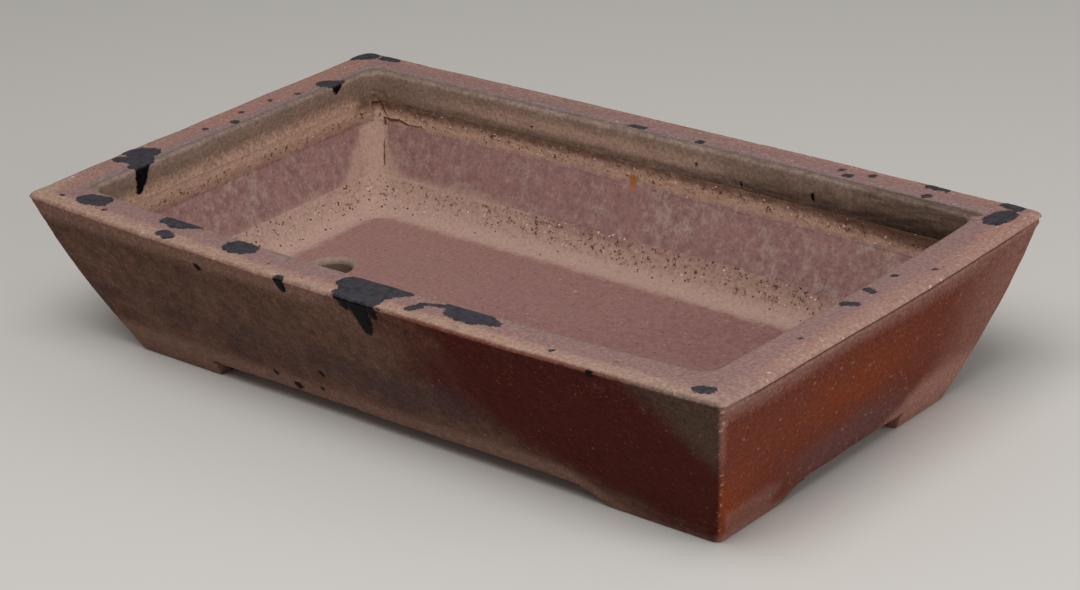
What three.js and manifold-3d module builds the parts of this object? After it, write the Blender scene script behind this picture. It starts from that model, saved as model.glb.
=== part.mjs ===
// A handmade, slab-built stoneware bonsai pot: a long, shallow, flared tray with a wide in-turned rim,
// a drained floor and four cut feet. Every slab, strip and coil that the potter luted on is its own mesh.
// Millimetres. +X along the long side, +Y to the back, +Z up, with the origin on the ground under the middle.

import * as THREE from 'three';
import { mergeVertices } from 'three/addons/utils/BufferGeometryUtils.js';
import Module from 'manifold-3d';

const wasm = await Module();
wasm.setup();

// Outside of the pot
const rimLength = 500;
const rimDepth = 286;
const baseLength = 425;
const baseDepth = 204;
const potHeight = 104;
const wallBelly = 2.6;
const cornerRadius = 5;

// How far drying and firing have slumped the rim at the middle of each side
const longBow = 5;
const longSag = 1.6;
const shortBow = 2;
const shortSag = 0.6;

// Slabs and strips
const wallThickness = 14;
const floorThickness = 14;
const rimHeight = 20;
const rimWidthLong = 26;
const rimWidthShort = 28;
const rimEdge = 2.5;
const rimUndercut = 4;
const rimInnerRadius = 10;

// Coils pressed into the inner joints
const rimCoilHeight = 14;
const rimCoilWidth = 4.5;
const rimCoilHollow = 0.4;
const cornerCoilRadius = 13;
const floorCoilHeight = 17;
const floorCoilWidth = 12;
const floorCornerRadius = 26;
const coilEdge = 0.8;

// Feet
const footHeight = 10;
const footThickness = 16;
const footLegLong = 67;
const footLegShort = 47;
const ogeeLength = 20;
const squareEndSlant = 3;

// Drain holes
const drainRadius = 12.5;
const drainSpacing = 324;
const drainBackShift = 9;
const drainSides = 28;

// The luted joints, and how finely the long runs, the corners and the curved sections are stepped
const jointGap = 0.3;
const runSteps = 8;
const cornerSteps = 4;
const coveSteps = 3;
const filletSteps = 5;
const ogeeSteps = 6;

const slabClay = { color: 0x7d4a3d, roughness: 0.8, metalness: 0 };
const rimClay = { color: 0xa07c72, roughness: 0.82, metalness: 0 };
const floorClay = { color: 0x85564f, roughness: 0.86, metalness: 0 };
const coilClay = { color: 0xa68c72, roughness: 0.92, metalness: 0 };
const footClay = { color: 0x74463b, roughness: 0.82, metalness: 0 };

// Levels, from the ground up
const floorTop = footHeight + floorThickness;
const wallTop = potHeight - rimHeight;
const floorCoilTop = floorTop + floorCoilHeight;
const rimCoilBottom = wallTop - rimCoilHeight;

// Half the pot's outer size at a height, from one base and rim size: the flare with its slight belly
function outerHalf(base, rim, z) {
  const t = z / potHeight;
  return base / 2 + (rim - base) / 2 * t + wallBelly * 4 * t * (1 - t);
}

// A corner of the ring at height z, so far in from the outer skin. round is its radius in plan.
function fromSkin(depth, z, round = 0) {
  const x = outerHalf(baseLength, rimLength, z) - depth;
  const y = outerHalf(baseDepth, rimDepth, z) - depth;
  return { x, y, z, round };
}

// A corner of the ring at height z, plumb below the rim's outer edge and so far in from it
function fromRim(share, offset, z, round = 0) {
  const x = rimLength / 2 - share * rimWidthShort - offset;
  const y = rimDepth / 2 - share * rimWidthLong - offset;
  return { x, y, z, round };
}

// The four sides, anticlockwise from above. turn is the side's angle about +Z, from the front.
const sides = [
  { name: 'front', turn: 0, isLong: true },
  { name: 'right', turn: Math.PI / 2, isLong: false },
  { name: 'back', turn: Math.PI, isLong: true },
  { name: 'left', turn: -Math.PI / 2, isLong: false },
];

const roundedShare = 1 - Math.SQRT1_2;

// Where a section's corner stands on a side. run is the place on the straight stretch, from -1 to 1, and
// bend the place on the rounded stretch, from 0 at its start to 1 at the mitre.
function placeOnSide(side, corner, run, bend, widest) {
  const reach = side.isLong ? corner.x : corner.y;
  const half = side.isLong ? corner.y : corner.x;
  const bow = side.isLong ? longBow : shortBow;
  const sag = side.isLong ? longSag : shortSag;
  const arc = bend * Math.PI / 4;
  const share = Math.sin(arc) / Math.SQRT1_2;
  const end = reach - widest + share * (widest - roundedShare * corner.round);
  const along = run * (end - jointGap * Math.SQRT1_2 * share);
  const last = reach - roundedShare * corner.round;
  const slump = (1 - (along / last) ** 2) * (corner.z / potHeight) ** 2;
  const out = half - corner.round * (1 - Math.cos(arc)) + bow * slump;
  const point = new THREE.Vector3(along, -out, corner.z - sag * slump);
  return point.applyAxisAngle(new THREE.Vector3(0, 0, 1), side.turn);
}

// The stations of a run from mitre to mitre: the rounded corner, the straight stretch, the other corner
function stationsAlong() {
  const stations = [];
  for (let i = cornerSteps; i > 0; i -= 1) {
    stations.push({ run: -1, bend: i / cornerSteps });
  }
  for (let i = 0; i <= runSteps; i += 1) {
    stations.push({ run: -1 + 2 * i / runSteps, bend: 0 });
  }
  for (let i = 1; i <= cornerSteps; i += 1) {
    stations.push({ run: 1, bend: i / cornerSteps });
  }
  return stations;
}

// A closed body through rings of points, with a flat cap at each end. outline is one ring's shape in 2-D.
function loft(rings, outline) {
  const count = outline.length;
  const positions = rings.flat().flatMap((point) => point.toArray());
  const caps = THREE.ShapeUtils.triangulateShape(outline, []);
  const turned = THREE.ShapeUtils.isClockWise(outline);
  const last = (rings.length - 1) * count;
  const faces = [];
  for (const cap of caps) {
    const [a, b, c] = turned ? cap.reverse() : cap;
    faces.push([a, c, b], [last + a, last + b, last + c]);
  }
  for (let ring = 0; ring < rings.length - 1; ring += 1) {
    for (let i = 0; i < count; i += 1) {
      const a = ring * count + i;
      const b = ring * count + (i + 1) % count;
      faces.push([a, b, b + count], [a, b + count, a + count]);
    }
  }
  const geometry = new THREE.BufferGeometry();
  geometry.setAttribute('position', new THREE.Float32BufferAttribute(positions, 3));
  geometry.setIndex(faces.flat());
  return facingOut(geometry);
}

// Six times the signed volume tells which way the faces point. They are turned over where it is negative.
function facingOut(geometry) {
  const index = geometry.getIndex().array;
  const at = (i) => new THREE.Vector3().fromBufferAttribute(geometry.getAttribute('position'), i);
  let volume = 0;
  for (let i = 0; i < index.length; i += 3) {
    volume += at(index[i]).dot(at(index[i + 1]).cross(at(index[i + 2])));
  }
  if (volume < 0) {
    for (let i = 0; i < index.length; i += 3) {
      const kept = index[i];
      index[i] = index[i + 1];
      index[i + 1] = kept;
    }
  }
  geometry.computeVertexNormals();
  return geometry;
}

// A strip or slab of the ring: one section carried along a side from mitre to mitre
function ringBar(side, section) {
  const widest = Math.max(...section.map((corner) => corner.round), coilEdge);
  const rings = stationsAlong().map(({ run, bend }) => (
    section.map((corner) => placeOnSide(side, corner, run, bend, widest))
  ));
  const outline = section.map((corner) => new THREE.Vector2(corner.y, corner.z));
  return loft(rings, outline);
}

const pot = new THREE.Group();
pot.name = 'rectangular_bonsai_pot';

function addPiece(name, geometry, clay) {
  const mesh = new THREE.Mesh(geometry, new THREE.MeshStandardMaterial(clay));
  mesh.name = name;
  pot.add(mesh);
}

// A wall slab: bellied outside and inside, standing on the feet and capped by the rim strip
function wallSection() {
  const levels = [0, 0.2, 0.4, 0.6, 0.8, 1].map((t) => THREE.MathUtils.lerp(footHeight, wallTop, t));
  const outside = levels.map((z) => fromSkin(0, z, cornerRadius));
  const inside = levels.map((z) => fromSkin(wallThickness, z));
  return [...outside, ...inside.reverse()];
}

// A rim strip: flared outside, flat on top, plumb inside, with rounded edges and an undercut below
function rimSection() {
  const bottom = wallTop + jointGap;
  const shoulder = potHeight - rimEdge;
  const edgeIn = rimEdge * roundedShare;
  const lip = bottom + rimUndercut;
  const undercutIn = rimUndercut * roundedShare;
  return [
    fromSkin(0, bottom, cornerRadius),
    fromSkin(0, (bottom + shoulder) / 2, cornerRadius),
    fromSkin(0, shoulder, cornerRadius),
    fromSkin(edgeIn, potHeight - edgeIn, cornerRadius),
    fromRim(0, rimEdge, potHeight, cornerRadius),
    fromRim(1, -rimEdge, potHeight, rimInnerRadius),
    fromRim(1, -edgeIn, potHeight - edgeIn, rimInnerRadius),
    fromRim(1, 0, shoulder, rimInnerRadius),
    fromRim(1, 0, lip, rimInnerRadius),
    fromRim(1, -undercutIn, bottom + undercutIn, rimInnerRadius),
    fromRim(1, -rimUndercut, bottom, rimInnerRadius),
  ];
}

// The coil under the rim's overhang: thick below the rim, hollow-faced, feathered out down the wall
function rimCoilSection() {
  const back = wallThickness + jointGap;
  const middle = THREE.MathUtils.lerp(wallTop, rimCoilBottom, rimCoilHollow);
  const middleWidth = THREE.MathUtils.lerp(coilEdge, rimCoilWidth, (1 - rimCoilHollow) ** 2);
  return [
    fromSkin(back, wallTop),
    fromSkin(back + rimCoilWidth, wallTop, rimInnerRadius),
    fromSkin(back + middleWidth, middle, cornerCoilRadius),
    fromSkin(back + coilEdge, rimCoilBottom, cornerCoilRadius),
    fromSkin(back, rimCoilBottom),
  ];
}

// The coil along the floor: a hollow-faced cove between the wall and the floor
function floorCoilSection() {
  const back = wallThickness + jointGap;
  const bottom = floorTop + jointGap;
  const section = [fromSkin(back, bottom), fromSkin(back + floorCoilWidth, bottom, floorCornerRadius)];
  for (let i = 0; i <= coveSteps; i += 1) {
    const angle = Math.PI / 2 * i / coveSteps;
    const depth = back + coilEdge + (floorCoilWidth - coilEdge) * (1 - Math.sin(angle));
    const z = floorCoilTop - (floorCoilTop - bottom - coilEdge) * Math.cos(angle);
    const round = THREE.MathUtils.lerp(floorCornerRadius, cornerCoilRadius, i / coveSteps);
    section.push(fromSkin(depth, z, round));
  }
  section.push(fromSkin(back, floorCoilTop));
  return section;
}

for (const side of sides) {
  addPiece(`${side.name}_wall`, ringBar(side, wallSection()), slabClay);
  addPiece(`rim_${side.name}`, ringBar(side, rimSection()), rimClay);
  addPiece(`rim_coil_${side.name}`, ringBar(side, rimCoilSection()), coilClay);
  addPiece(`floor_coil_${side.name}`, ringBar(side, floorCoilSection()), coilClay);
}

// The four corners, each with the signs of its X and Y and the cut of its foot's two ends
const corners = [
  { name: 'front_left', x: -1, y: -1, longEnd: 'square', shortEnd: 'square' },
  { name: 'front_right', x: 1, y: -1, longEnd: 'ogee', shortEnd: 'ogee' },
  { name: 'back_right', x: 1, y: 1, longEnd: 'square', shortEnd: 'square' },
  { name: 'back_left', x: -1, y: 1, longEnd: 'square', shortEnd: 'square' },
];

// The coil in an upright inner corner: a hollow-faced fillet between the floor's coils and the rim's
function cornerCoil(corner) {
  const back = wallThickness + jointGap;
  const bottom = floorCoilTop + jointGap;
  const top = rimCoilBottom - jointGap;
  const rings = [0, 1 / 3, 2 / 3, 1].map((t) => {
    const seat = fromSkin(back, THREE.MathUtils.lerp(bottom, top, t));
    const points = [[seat.x, seat.y], [seat.x - cornerCoilRadius, seat.y]];
    for (let i = 0; i <= filletSteps; i += 1) {
      const angle = Math.PI / 2 * (1 - i / filletSteps);
      const radius = cornerCoilRadius - coilEdge;
      const x = seat.x - cornerCoilRadius + radius * Math.cos(angle);
      const y = seat.y - cornerCoilRadius + radius * Math.sin(angle);
      points.push([x, y]);
    }
    points.push([seat.x, seat.y - cornerCoilRadius]);
    return points.map(([x, y]) => new THREE.Vector3(corner.x * x, corner.y * y, seat.z));
  });
  const outline = rings[0].map((point) => new THREE.Vector2(point.x, point.y));
  return loft(rings, outline);
}

// The height of a foot's underside, so far past the end of its standing leg, where the end is an ogee
function ogeeRise(distance) {
  const t = THREE.MathUtils.clamp(distance / ogeeLength, 0, 1);
  return (footHeight - jointGap - coilEdge) * t * t * (3 - 2 * t);
}

// The places along one leg, from its free end to the rounded corner: how far each lies from the corner of
// the ground outline, how high the underside is there, and how much further the top reaches
function legStations(legLength, end) {
  if (end === 'square') {
    return [{ from: legLength, rise: 0, slant: squareEndSlant }];
  }
  const stations = [];
  for (let i = ogeeSteps; i >= 0; i -= 1) {
    const distance = ogeeLength * i / ogeeSteps;
    stations.push({ from: legLength + distance, rise: ogeeRise(distance), slant: 0 });
  }
  return stations;
}

// A foot: an angle of clay under the corner, flush with the walls, its two ends cut square or to an ogee
function footPiece(corner) {
  const top = footHeight - jointGap;
  const sectionAt = (rise) => [
    fromSkin(0, rise, cornerRadius),
    fromSkin(0, top, cornerRadius),
    fromSkin(footThickness, top),
    fromSkin(footThickness, rise),
  ];
  const onLeg = (isLong) => ({ from, rise, slant }) => sectionAt(rise).map((point) => {
    const ground = isLong ? baseLength / 2 : baseDepth / 2;
    const along = ground - from - (point.z > rise ? slant : 0);
    const x = isLong ? along : point.x;
    const y = isLong ? point.y : along;
    return new THREE.Vector3(corner.x * x, corner.y * y, point.z);
  });
  const rounded = [];
  for (let i = 0; i <= 2 * cornerSteps; i += 1) {
    const share = i / (2 * cornerSteps);
    const angle = Math.PI / 2 * (1 - share);
    rounded.push(sectionAt(0).map((point) => {
      const chamfer = cornerRadius - point.round;
      const x = point.x - point.round * (1 - Math.cos(angle)) - chamfer * (1 - share);
      const y = point.y - point.round * (1 - Math.sin(angle)) - chamfer * share;
      return new THREE.Vector3(corner.x * x, corner.y * y, point.z);
    }));
  }
  const rings = [
    ...legStations(footLegLong, corner.longEnd).map(onLeg(true)),
    ...rounded,
    ...legStations(footLegShort, corner.shortEnd).reverse().map(onLeg(false)),
  ];
  const outline = sectionAt(0).map((point) => new THREE.Vector2(point.y, point.z));
  return loft(rings, outline);
}

for (const corner of corners) {
  addPiece(`corner_coil_${corner.name}`, cornerCoil(corner), coilClay);
  addPiece(`foot_${corner.name}`, footPiece(corner), footClay);
}

function solidFrom(geometry) {
  const bare = geometry.clone();
  bare.deleteAttribute('normal');
  bare.deleteAttribute('uv');
  const merged = mergeVertices(bare);
  const vertProperties = new Float32Array(merged.getAttribute('position').array);
  const triVerts = new Uint32Array(merged.getIndex().array);
  return new wasm.Manifold(new wasm.Mesh({ numProp: 3, vertProperties, triVerts }));
}

function geometryFrom(solid) {
  const { vertProperties, triVerts } = solid.getMesh();
  const geometry = new THREE.BufferGeometry();
  geometry.setAttribute('position', new THREE.Float32BufferAttribute(vertProperties, 3));
  geometry.setIndex([...triVerts]);
  geometry.computeVertexNormals();
  return geometry;
}

// The floor slab, cut to the inside of the walls, with the drain holes punched through it
function floorSlab() {
  const signs = [[1, 1], [-1, 1], [-1, -1], [1, -1]];
  const rings = [footHeight, floorTop].map((z) => {
    const edge = fromSkin(wallThickness + jointGap, z);
    return signs.map(([x, y]) => new THREE.Vector3(x * edge.x, y * edge.y, z));
  });
  const outline = rings[0].map((point) => new THREE.Vector2(point.x, point.y));
  const punch = new THREE.CylinderGeometry(drainRadius, drainRadius, 2 * floorTop, drainSides);
  punch.rotateX(Math.PI / 2);
  let slab = solidFrom(loft(rings, outline));
  const middle = footHeight + floorThickness / 2;
  for (const side of [-1, 1]) {
    const hole = punch.clone().translate(side * drainSpacing / 2, drainBackShift, middle);
    slab = slab.subtract(solidFrom(hole));
  }
  return geometryFrom(slab);
}

addPiece('floor_slab', floorSlab(), floorClay);

export default pot;
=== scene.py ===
"""An old, unglazed, slab-built stoneware bonsai pot: a long flared tray with a wide in-turned rim,
gritty coils in its inner joints, two drain holes and four cut feet, marked by kiln, lime and tar."""

import math

import bpy
import numpy as np
from mathutils import Matrix, Vector


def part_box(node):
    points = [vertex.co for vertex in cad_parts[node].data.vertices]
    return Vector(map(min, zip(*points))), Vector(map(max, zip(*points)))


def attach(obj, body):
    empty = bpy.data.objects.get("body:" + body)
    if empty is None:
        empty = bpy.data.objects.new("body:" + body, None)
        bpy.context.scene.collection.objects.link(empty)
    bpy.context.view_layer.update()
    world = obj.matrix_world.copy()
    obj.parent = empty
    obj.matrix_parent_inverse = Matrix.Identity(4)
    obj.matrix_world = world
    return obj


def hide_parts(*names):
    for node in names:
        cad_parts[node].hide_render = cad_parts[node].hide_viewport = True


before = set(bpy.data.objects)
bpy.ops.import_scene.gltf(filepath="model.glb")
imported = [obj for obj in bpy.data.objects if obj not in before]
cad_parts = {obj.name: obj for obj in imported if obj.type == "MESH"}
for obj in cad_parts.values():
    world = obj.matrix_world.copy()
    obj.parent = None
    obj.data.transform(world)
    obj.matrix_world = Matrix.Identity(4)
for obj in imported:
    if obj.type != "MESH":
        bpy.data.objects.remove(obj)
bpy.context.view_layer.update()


# The camera stands where the photograph was taken: off the pot's front right corner, looking down on it.
# Its lens is long, and it leans by three and a half degrees.
CAMERA_AZIMUTH = 41.768
CAMERA_ELEVATION = 23.705
CAMERA_LEAN = -3.518
CAMERA_DISTANCE = 1.6882
CAMERA_TARGET = Vector((0.0110, 0.0007, 0.05))
CAMERA_LENS = 100.71

azimuth, elevation = math.radians(CAMERA_AZIMUTH), math.radians(CAMERA_ELEVATION)
level = Vector((math.cos(azimuth), math.sin(azimuth), 0.0))
ahead = Vector((-math.sin(azimuth), math.cos(azimuth), 0.0)) * math.cos(elevation)
ahead.z = -math.sin(elevation)
lean = Matrix.Rotation(math.radians(CAMERA_LEAN), 3, -ahead)
turned = Matrix((lean @ level, lean @ level.cross(ahead), -ahead)).transposed()

camera_data = bpy.data.cameras.new("camera")
camera_data.lens = CAMERA_LENS
camera = bpy.data.objects.new("camera", camera_data)
camera.matrix_world = Matrix.Translation(CAMERA_TARGET - ahead * CAMERA_DISTANCE) @ turned.to_4x4()
bpy.context.scene.collection.objects.link(camera)
bpy.context.scene.camera = camera


# The studio: matte pale paper underneath, a large soft lamp high in front and a weaker one at the right.
# The surround is a pale grey that fills the shadows softly and shows as plain white behind the pot.
PAPER_COLOUR = "#D6D3CE"
PAPER_RADIUS = 12.0
PAPER_SIDES = 64
SURROUND_COLOUR = "#E6E4E0"
SURROUND_LIGHT = 0.30
LAMPS = {
    "overhead_softbox": {"place": (0.60, -0.95, 1.95), "size": (1.5, 1.2), "watts": 34.0},
    "right_softbox": {"place": (2.30, 0.30, 1.00), "size": (1.0, 0.8), "watts": 10.0},
}


def colour(code):
    """The linear colour of an sRGB hex value."""
    shares = [int(code[i:i + 2], 16) / 255 for i in (1, 3, 5)]
    return [s / 12.92 if s <= 0.04045 else ((s + 0.055) / 1.055) ** 2.4 for s in shares] + [1.0]


def add(tree, kind, inputs=None, output=0, **settings):
    """Adds a node, makes its settings, sets or links its inputs, and gives back one of its outputs. A hex
    value among the inputs stands for its colour."""
    node = tree.nodes.new(kind)
    for name, value in settings.items():
        setattr(node, name, value)
    for name, value in (inputs or {}).items():
        if isinstance(value, bpy.types.NodeSocket):
            tree.links.new(value, node.inputs[name])
        else:
            is_hex = isinstance(value, str) and value.startswith("#")
            node.inputs[name].default_value = colour(value) if is_hex else value
    return node.outputs[output] if len(node.outputs) else node


def new_material(name):
    """A material whose node tree is still empty."""
    material = bpy.data.materials.new(name)
    material.use_nodes = True
    material.node_tree.nodes.clear()
    return material


def show(thing):
    """Puts a mesh or lamp into the scene at the origin, under its own name."""
    made = bpy.data.objects.new(thing.name, thing)
    bpy.context.scene.collection.objects.link(made)
    return made


around = np.linspace(0, 2 * math.pi, PAPER_SIDES + 1)[:-1]
rim_of_paper = [(PAPER_RADIUS * math.cos(a), PAPER_RADIUS * math.sin(a), 0) for a in around]
paper = bpy.data.meshes.new("studio_paper")
paper.from_pydata(rim_of_paper, [], [range(PAPER_SIDES)])
paper_finish = new_material("matte_paper")
matte = add(paper_finish.node_tree, "ShaderNodeBsdfPrincipled",
            {"Base Color": PAPER_COLOUR, "Roughness": 0.9, "Specular IOR Level": 0.2})
add(paper_finish.node_tree, "ShaderNodeOutputMaterial", {"Surface": matte})
paper.materials.append(paper_finish)
show(paper)

for name, lamp in LAMPS.items():
    light = bpy.data.lights.new(name, "AREA")
    light.shape = "RECTANGLE"
    light.size, light.size_y = lamp["size"]
    light.energy = lamp["watts"]
    stand = show(light)
    stand.location = lamp["place"]
    stand.rotation_euler = (-stand.location).to_track_quat("-Z", "Y").to_euler()

surround = bpy.data.worlds.new("pale_surround")
surround.use_nodes = True
surround.node_tree.nodes.clear()
seen = add(surround.node_tree, "ShaderNodeLightPath", output="Is Camera Ray")
strength = add(surround.node_tree, "ShaderNodeMix", {"Factor": seen, "A": SURROUND_LIGHT, "B": 1.0})
sky = add(surround.node_tree, "ShaderNodeBackground",
          {"Color": SURROUND_COLOUR, "Strength": strength})
add(surround.node_tree, "ShaderNodeOutputWorld", {"Surface": sky})
bpy.context.scene.world = surround
bpy.context.scene.view_settings.view_transform = "Standard"


# The wall slabs: four bellied slabs of coarse stoneware, mitred and luted at the corners, standing on the
# feet and the floor's edge. Drying slumped the long sides outwards and down at their middle. The kiln
# burned the outside olive, oxblood and brick by turns, and the soil left lime on the inside.
MM = 0.001
RIM_LENGTH, RIM_DEPTH = 500.0, 286.0
BASE_LENGTH, BASE_DEPTH = 425.0, 204.0
POT_HEIGHT = 104.0
WALL_BELLY = 2.6
CORNER_RADIUS = 5.0
LONG_BOW, LONG_SAG = 5.0, 1.6
SHORT_BOW, SHORT_SAG = 2.0, 0.6
FOOT_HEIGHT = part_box("front_wall")[0].z / MM
RIM_BOTTOM = 84.0
WALL_THICKNESS = 14.0
BASE_EDGE = 2.2
FINE_STEP = 1.6
ROUNDED_SHARE = 1 - math.sqrt(0.5)
SHARP_FOLD = math.radians(40)
SIDES = {"front": 0.0, "right": math.pi / 2, "back": math.pi, "left": -math.pi / 2}
LONG_SIDES, SHORT_SIDES = ("front", "back"), ("left", "right")
SIDE_SHIFT = 1000.0
FAR_OFF = 99.0


def rise(value, low, high):
    """Climbs smoothly from 0 at low to 1 at high."""
    t = np.clip((value - low) / (high - low), 0, 1)
    return t * t * (3 - 2 * t)


def from_skin(depth, z, rounding=1.0):
    """A corner of the pot's ring at a height, so far in from the outer skin: x, y, z, radius in plan."""
    depth, z, rounding = np.broadcast_arrays(depth, np.asarray(z, float), rounding)
    t = z / POT_HEIGHT
    belly = 4 * WALL_BELLY * t * (1 - t)
    x = BASE_LENGTH / 2 + (RIM_LENGTH - BASE_LENGTH) / 2 * t + belly - depth
    y = BASE_DEPTH / 2 + (RIM_DEPTH - BASE_DEPTH) / 2 * t + belly - depth
    return np.stack([x, y, z, rounding], -1)


def carry_along(side, section, step, corner_steps):
    """Carries a closed section along one side of the pot, from mitre to mitre. Gives the points and their
    outward directions as [station, corner, xyz], and each point's way along and from the nearer mitre."""
    half, reach = (section[:, 1], section[:, 0]) if side in LONG_SIDES else (section[:, 0], section[:, 1])
    bow, sag = (LONG_BOW, LONG_SAG) if side in LONG_SIDES else (SHORT_BOW, SHORT_SAG)
    z, rounding = section[:, 2], section[:, 3]
    run_steps = round(2 * reach.max() / step)
    bends = np.linspace(0, 1, corner_steps + 1)
    run = np.concatenate([-np.ones(corner_steps), np.linspace(-1, 1, run_steps + 1), np.ones(corner_steps)])
    bend = np.concatenate([bends[:0:-1], np.zeros(run_steps + 1), bends[1:]])
    arc = bend[:, None] * math.pi / 4
    along = run[:, None] * (reach - rounding + rounding * np.sin(arc))
    slump = (1 - (along / (reach - ROUNDED_SHARE * rounding)) ** 2) * (z / POT_HEIGHT) ** 2
    out = half - rounding * (1 - np.cos(arc)) + bow * slump
    points = np.stack([along, -out, z - sag * slump], -1)
    ahead_of = np.roll(points, -1, 1) - np.roll(points, 1, 1)
    outward = np.cross(np.gradient(points, axis=0), ahead_of)
    for station, end in ((0, -1), (-1, 1)):
        across_mitre = np.array([end, 1, 0]) / math.sqrt(2)
        outward[station] -= (outward[station] @ across_mitre)[:, None] * across_mitre
    outward /= np.maximum(np.linalg.norm(outward, axis=-1, keepdims=True), 1e-9)
    turn = SIDES[side]
    spin = np.array([[math.cos(turn), math.sin(turn), 0], [-math.sin(turn), math.cos(turn), 0], [0, 0, 1]])
    return points @ spin, outward @ spin, along, np.abs(along).max(0) - np.abs(along)


def facing_of(outward):
    """Which way places face in plan, whatever their slope."""
    flat = outward * [1, 1, 0]
    return flat / np.maximum(np.linalg.norm(flat, axis=-1, keepdims=True), 1e-6)


def lay_on(side, along, across):
    """Places along and across a piece, shifted so that each side has a grain of its own."""
    shift = SIDE_SHIFT * list(SIDES).index(side)
    return np.stack([along, np.broadcast_to(across, along.shape), np.full(along.shape, shift)], -1)


def write_fields(mesh, shape, fields):
    """Gives a mesh an attribute for each field: a number or a direction at every point of its grid."""
    for name, values in fields.items():
        vector = np.ndim(values) > len(shape)
        made = mesh.attributes.new(name, "FLOAT_VECTOR" if vector else "FLOAT", "POINT")
        values = np.broadcast_to(values, shape + (3,) if vector else shape)
        made.data.foreach_set("vector" if vector else "value", values.astype(np.float32).ravel())


def closed_body(name, points, fields):
    """A closed mesh through rings of points, flat at both ends, with an attribute for each field."""
    stations, corners = points.shape[:2]
    at = np.arange(stations * corners).reshape(stations, corners)
    near, far = at[:-1], at[1:]
    sides = np.stack([near, np.roll(near, -1, 1), np.roll(far, -1, 1), far], -1).reshape(-1, 4)
    faces = sides.tolist() + [at[0][::-1].tolist(), at[-1].tolist()]
    mesh = bpy.data.meshes.new(name)
    mesh.from_pydata((points.reshape(-1, 3) * MM).tolist(), [], faces)
    smooth = np.ones(len(faces), bool)
    smooth[-2:] = False
    mesh.polygons.foreach_set("use_smooth", smooth)
    mesh.set_sharp_from_angle(angle=SHARP_FOLD)
    write_fields(mesh, points.shape[:2], fields)
    return mesh


def to_strokes(x, y, strokes):
    """How far each place lies outside the nearest of some strokes, each a chain of (x, y, radius)."""
    nearest = np.full(np.shape(x), FAR_OFF)
    for stroke in strokes:
        for (xa, ya, ra), (xb, yb, rb) in zip(stroke, stroke[1:] or stroke):
            length = max((xb - xa) ** 2 + (yb - ya) ** 2, 1e-6)
            share = np.clip(((x - xa) * (xb - xa) + (y - ya) * (yb - ya)) / length, 0, 1)
            away = np.hypot(x - xa - share * (xb - xa), y - ya - share * (yb - ya))
            nearest = np.minimum(nearest, away - ra - share * (rb - ra))
    return nearest


# Tar that dripped on the pot: blots on the rim as chains of (x, y, radius), what ran or flicked on to the
# front wall and the back rim's inner face as (x, z, radius), and on to the left rim's as (y, z, radius).
TAR_ON_RIM = [
    [(-248, -64, 5), (-238, -60, 8)], [(-244, -76, 3.5), (-233, -73, 5)],
    [(-238, -64, 8), (-223, -76, 5)], [(-212, -129, 6.2), (-203, -127, 6.2)],
    [(-150, -125, 4.2), (-140, -126, 4.6), (-125, -121, 1.6)], [(-140, -139, 3.6), (-134, -140, 3.4)],
    [(-91, -130, 7.3), (-84, -129, 6.6)], [(-42, -147, 2.6)],
    [(-4, -131, 6.8), (8, -129, 11), (21, -129, 9.4), (32, -125, 3)], [(3, -141, 7), (22, -144, 6)],
    [(45, -139, 2.2), (48, -134, 1.8)], [(47, -131, 1.2), (55, -127.5, 0.8), (63, -126.5, 1.4)],
    [(61, -122, 3), (71, -127, 8.4), (83, -128, 8), (97, -130, 2)], [(230, -134, 3.4), (234, -133, 3.6)],
    [(229, -14, 2.2), (234, -11, 2)], [(229, 7, 2), (232, 6, 1.6)], [(230, 29, 1.4)], [(243, 47, 1)],
    [(234, 118, 6.3), (235, 126, 6.6)], [(228, 140, 3.4), (236, 138, 3.6)],
    [(178, 141, 2.5), (188, 141, 2.2)], [(184, 128, 2.6)], [(142, 138, 2)], [(122, 137, 1.5)],
    [(130, 131, 2.4)], [(27, 130, 2)], [(61, 121, 1.5)], [(-23, 129, 2.2), (-16, 130, 2)],
    [(-115, 123, 1.5)], [(-99, 119, 1.3)], [(-246, 130, 5), (-240, 136, 5)],
    [(-230, 138, 3), (-221, 138, 2.4)], [(-231, 84, 5), (-224, 87, 6)], [(-233, 62, 1.5)],
    [(-231, 6, 2.4)], [(-238, -12, 1.2)], [(-239, 44, 1.2)], [(-192, -134, 1.2)], [(-229, -133, 1)],
    [(-240, 20, 1.4)], [(140, -138, 0.6)], [(175, -131, 0.5)], [(-60, -136, 0.5)], [(236, -60, 0.5)],
]
TAR_ON_FRONT = [
    [(-42, 104, 3), (-42, 96, 2.6)], [(4, 104, 4), (5, 97, 2)], [(13, 104, 7), (15, 95, 6), (15, 84, 3.6)],
    [(23, 104, 4), (25, 96, 2)], [(30, 103, 1.5)], [(170, 101, 2)], [(-111, 90, 1.7)], [(-88, 21, 1.4)],
    [(-74, 16, 2.5)], [(-46, 34, 1.3)], [(-53, 20, 1.2)],
]
TAR_ON_INNER_LEFT = [[(-77, 104, 5), (-78, 98, 4.4), (-80, 90, 2.6)], [(86, 104, 4), (85, 101, 2.4)]]
TAR_ON_INNER_BACK = [[(113, 92, 0.3), (113, 88, 0.1)], [(30, 92, 0.4)], [(62, 87, 0.6)], [(-95, 90, 0.3)]]


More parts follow.
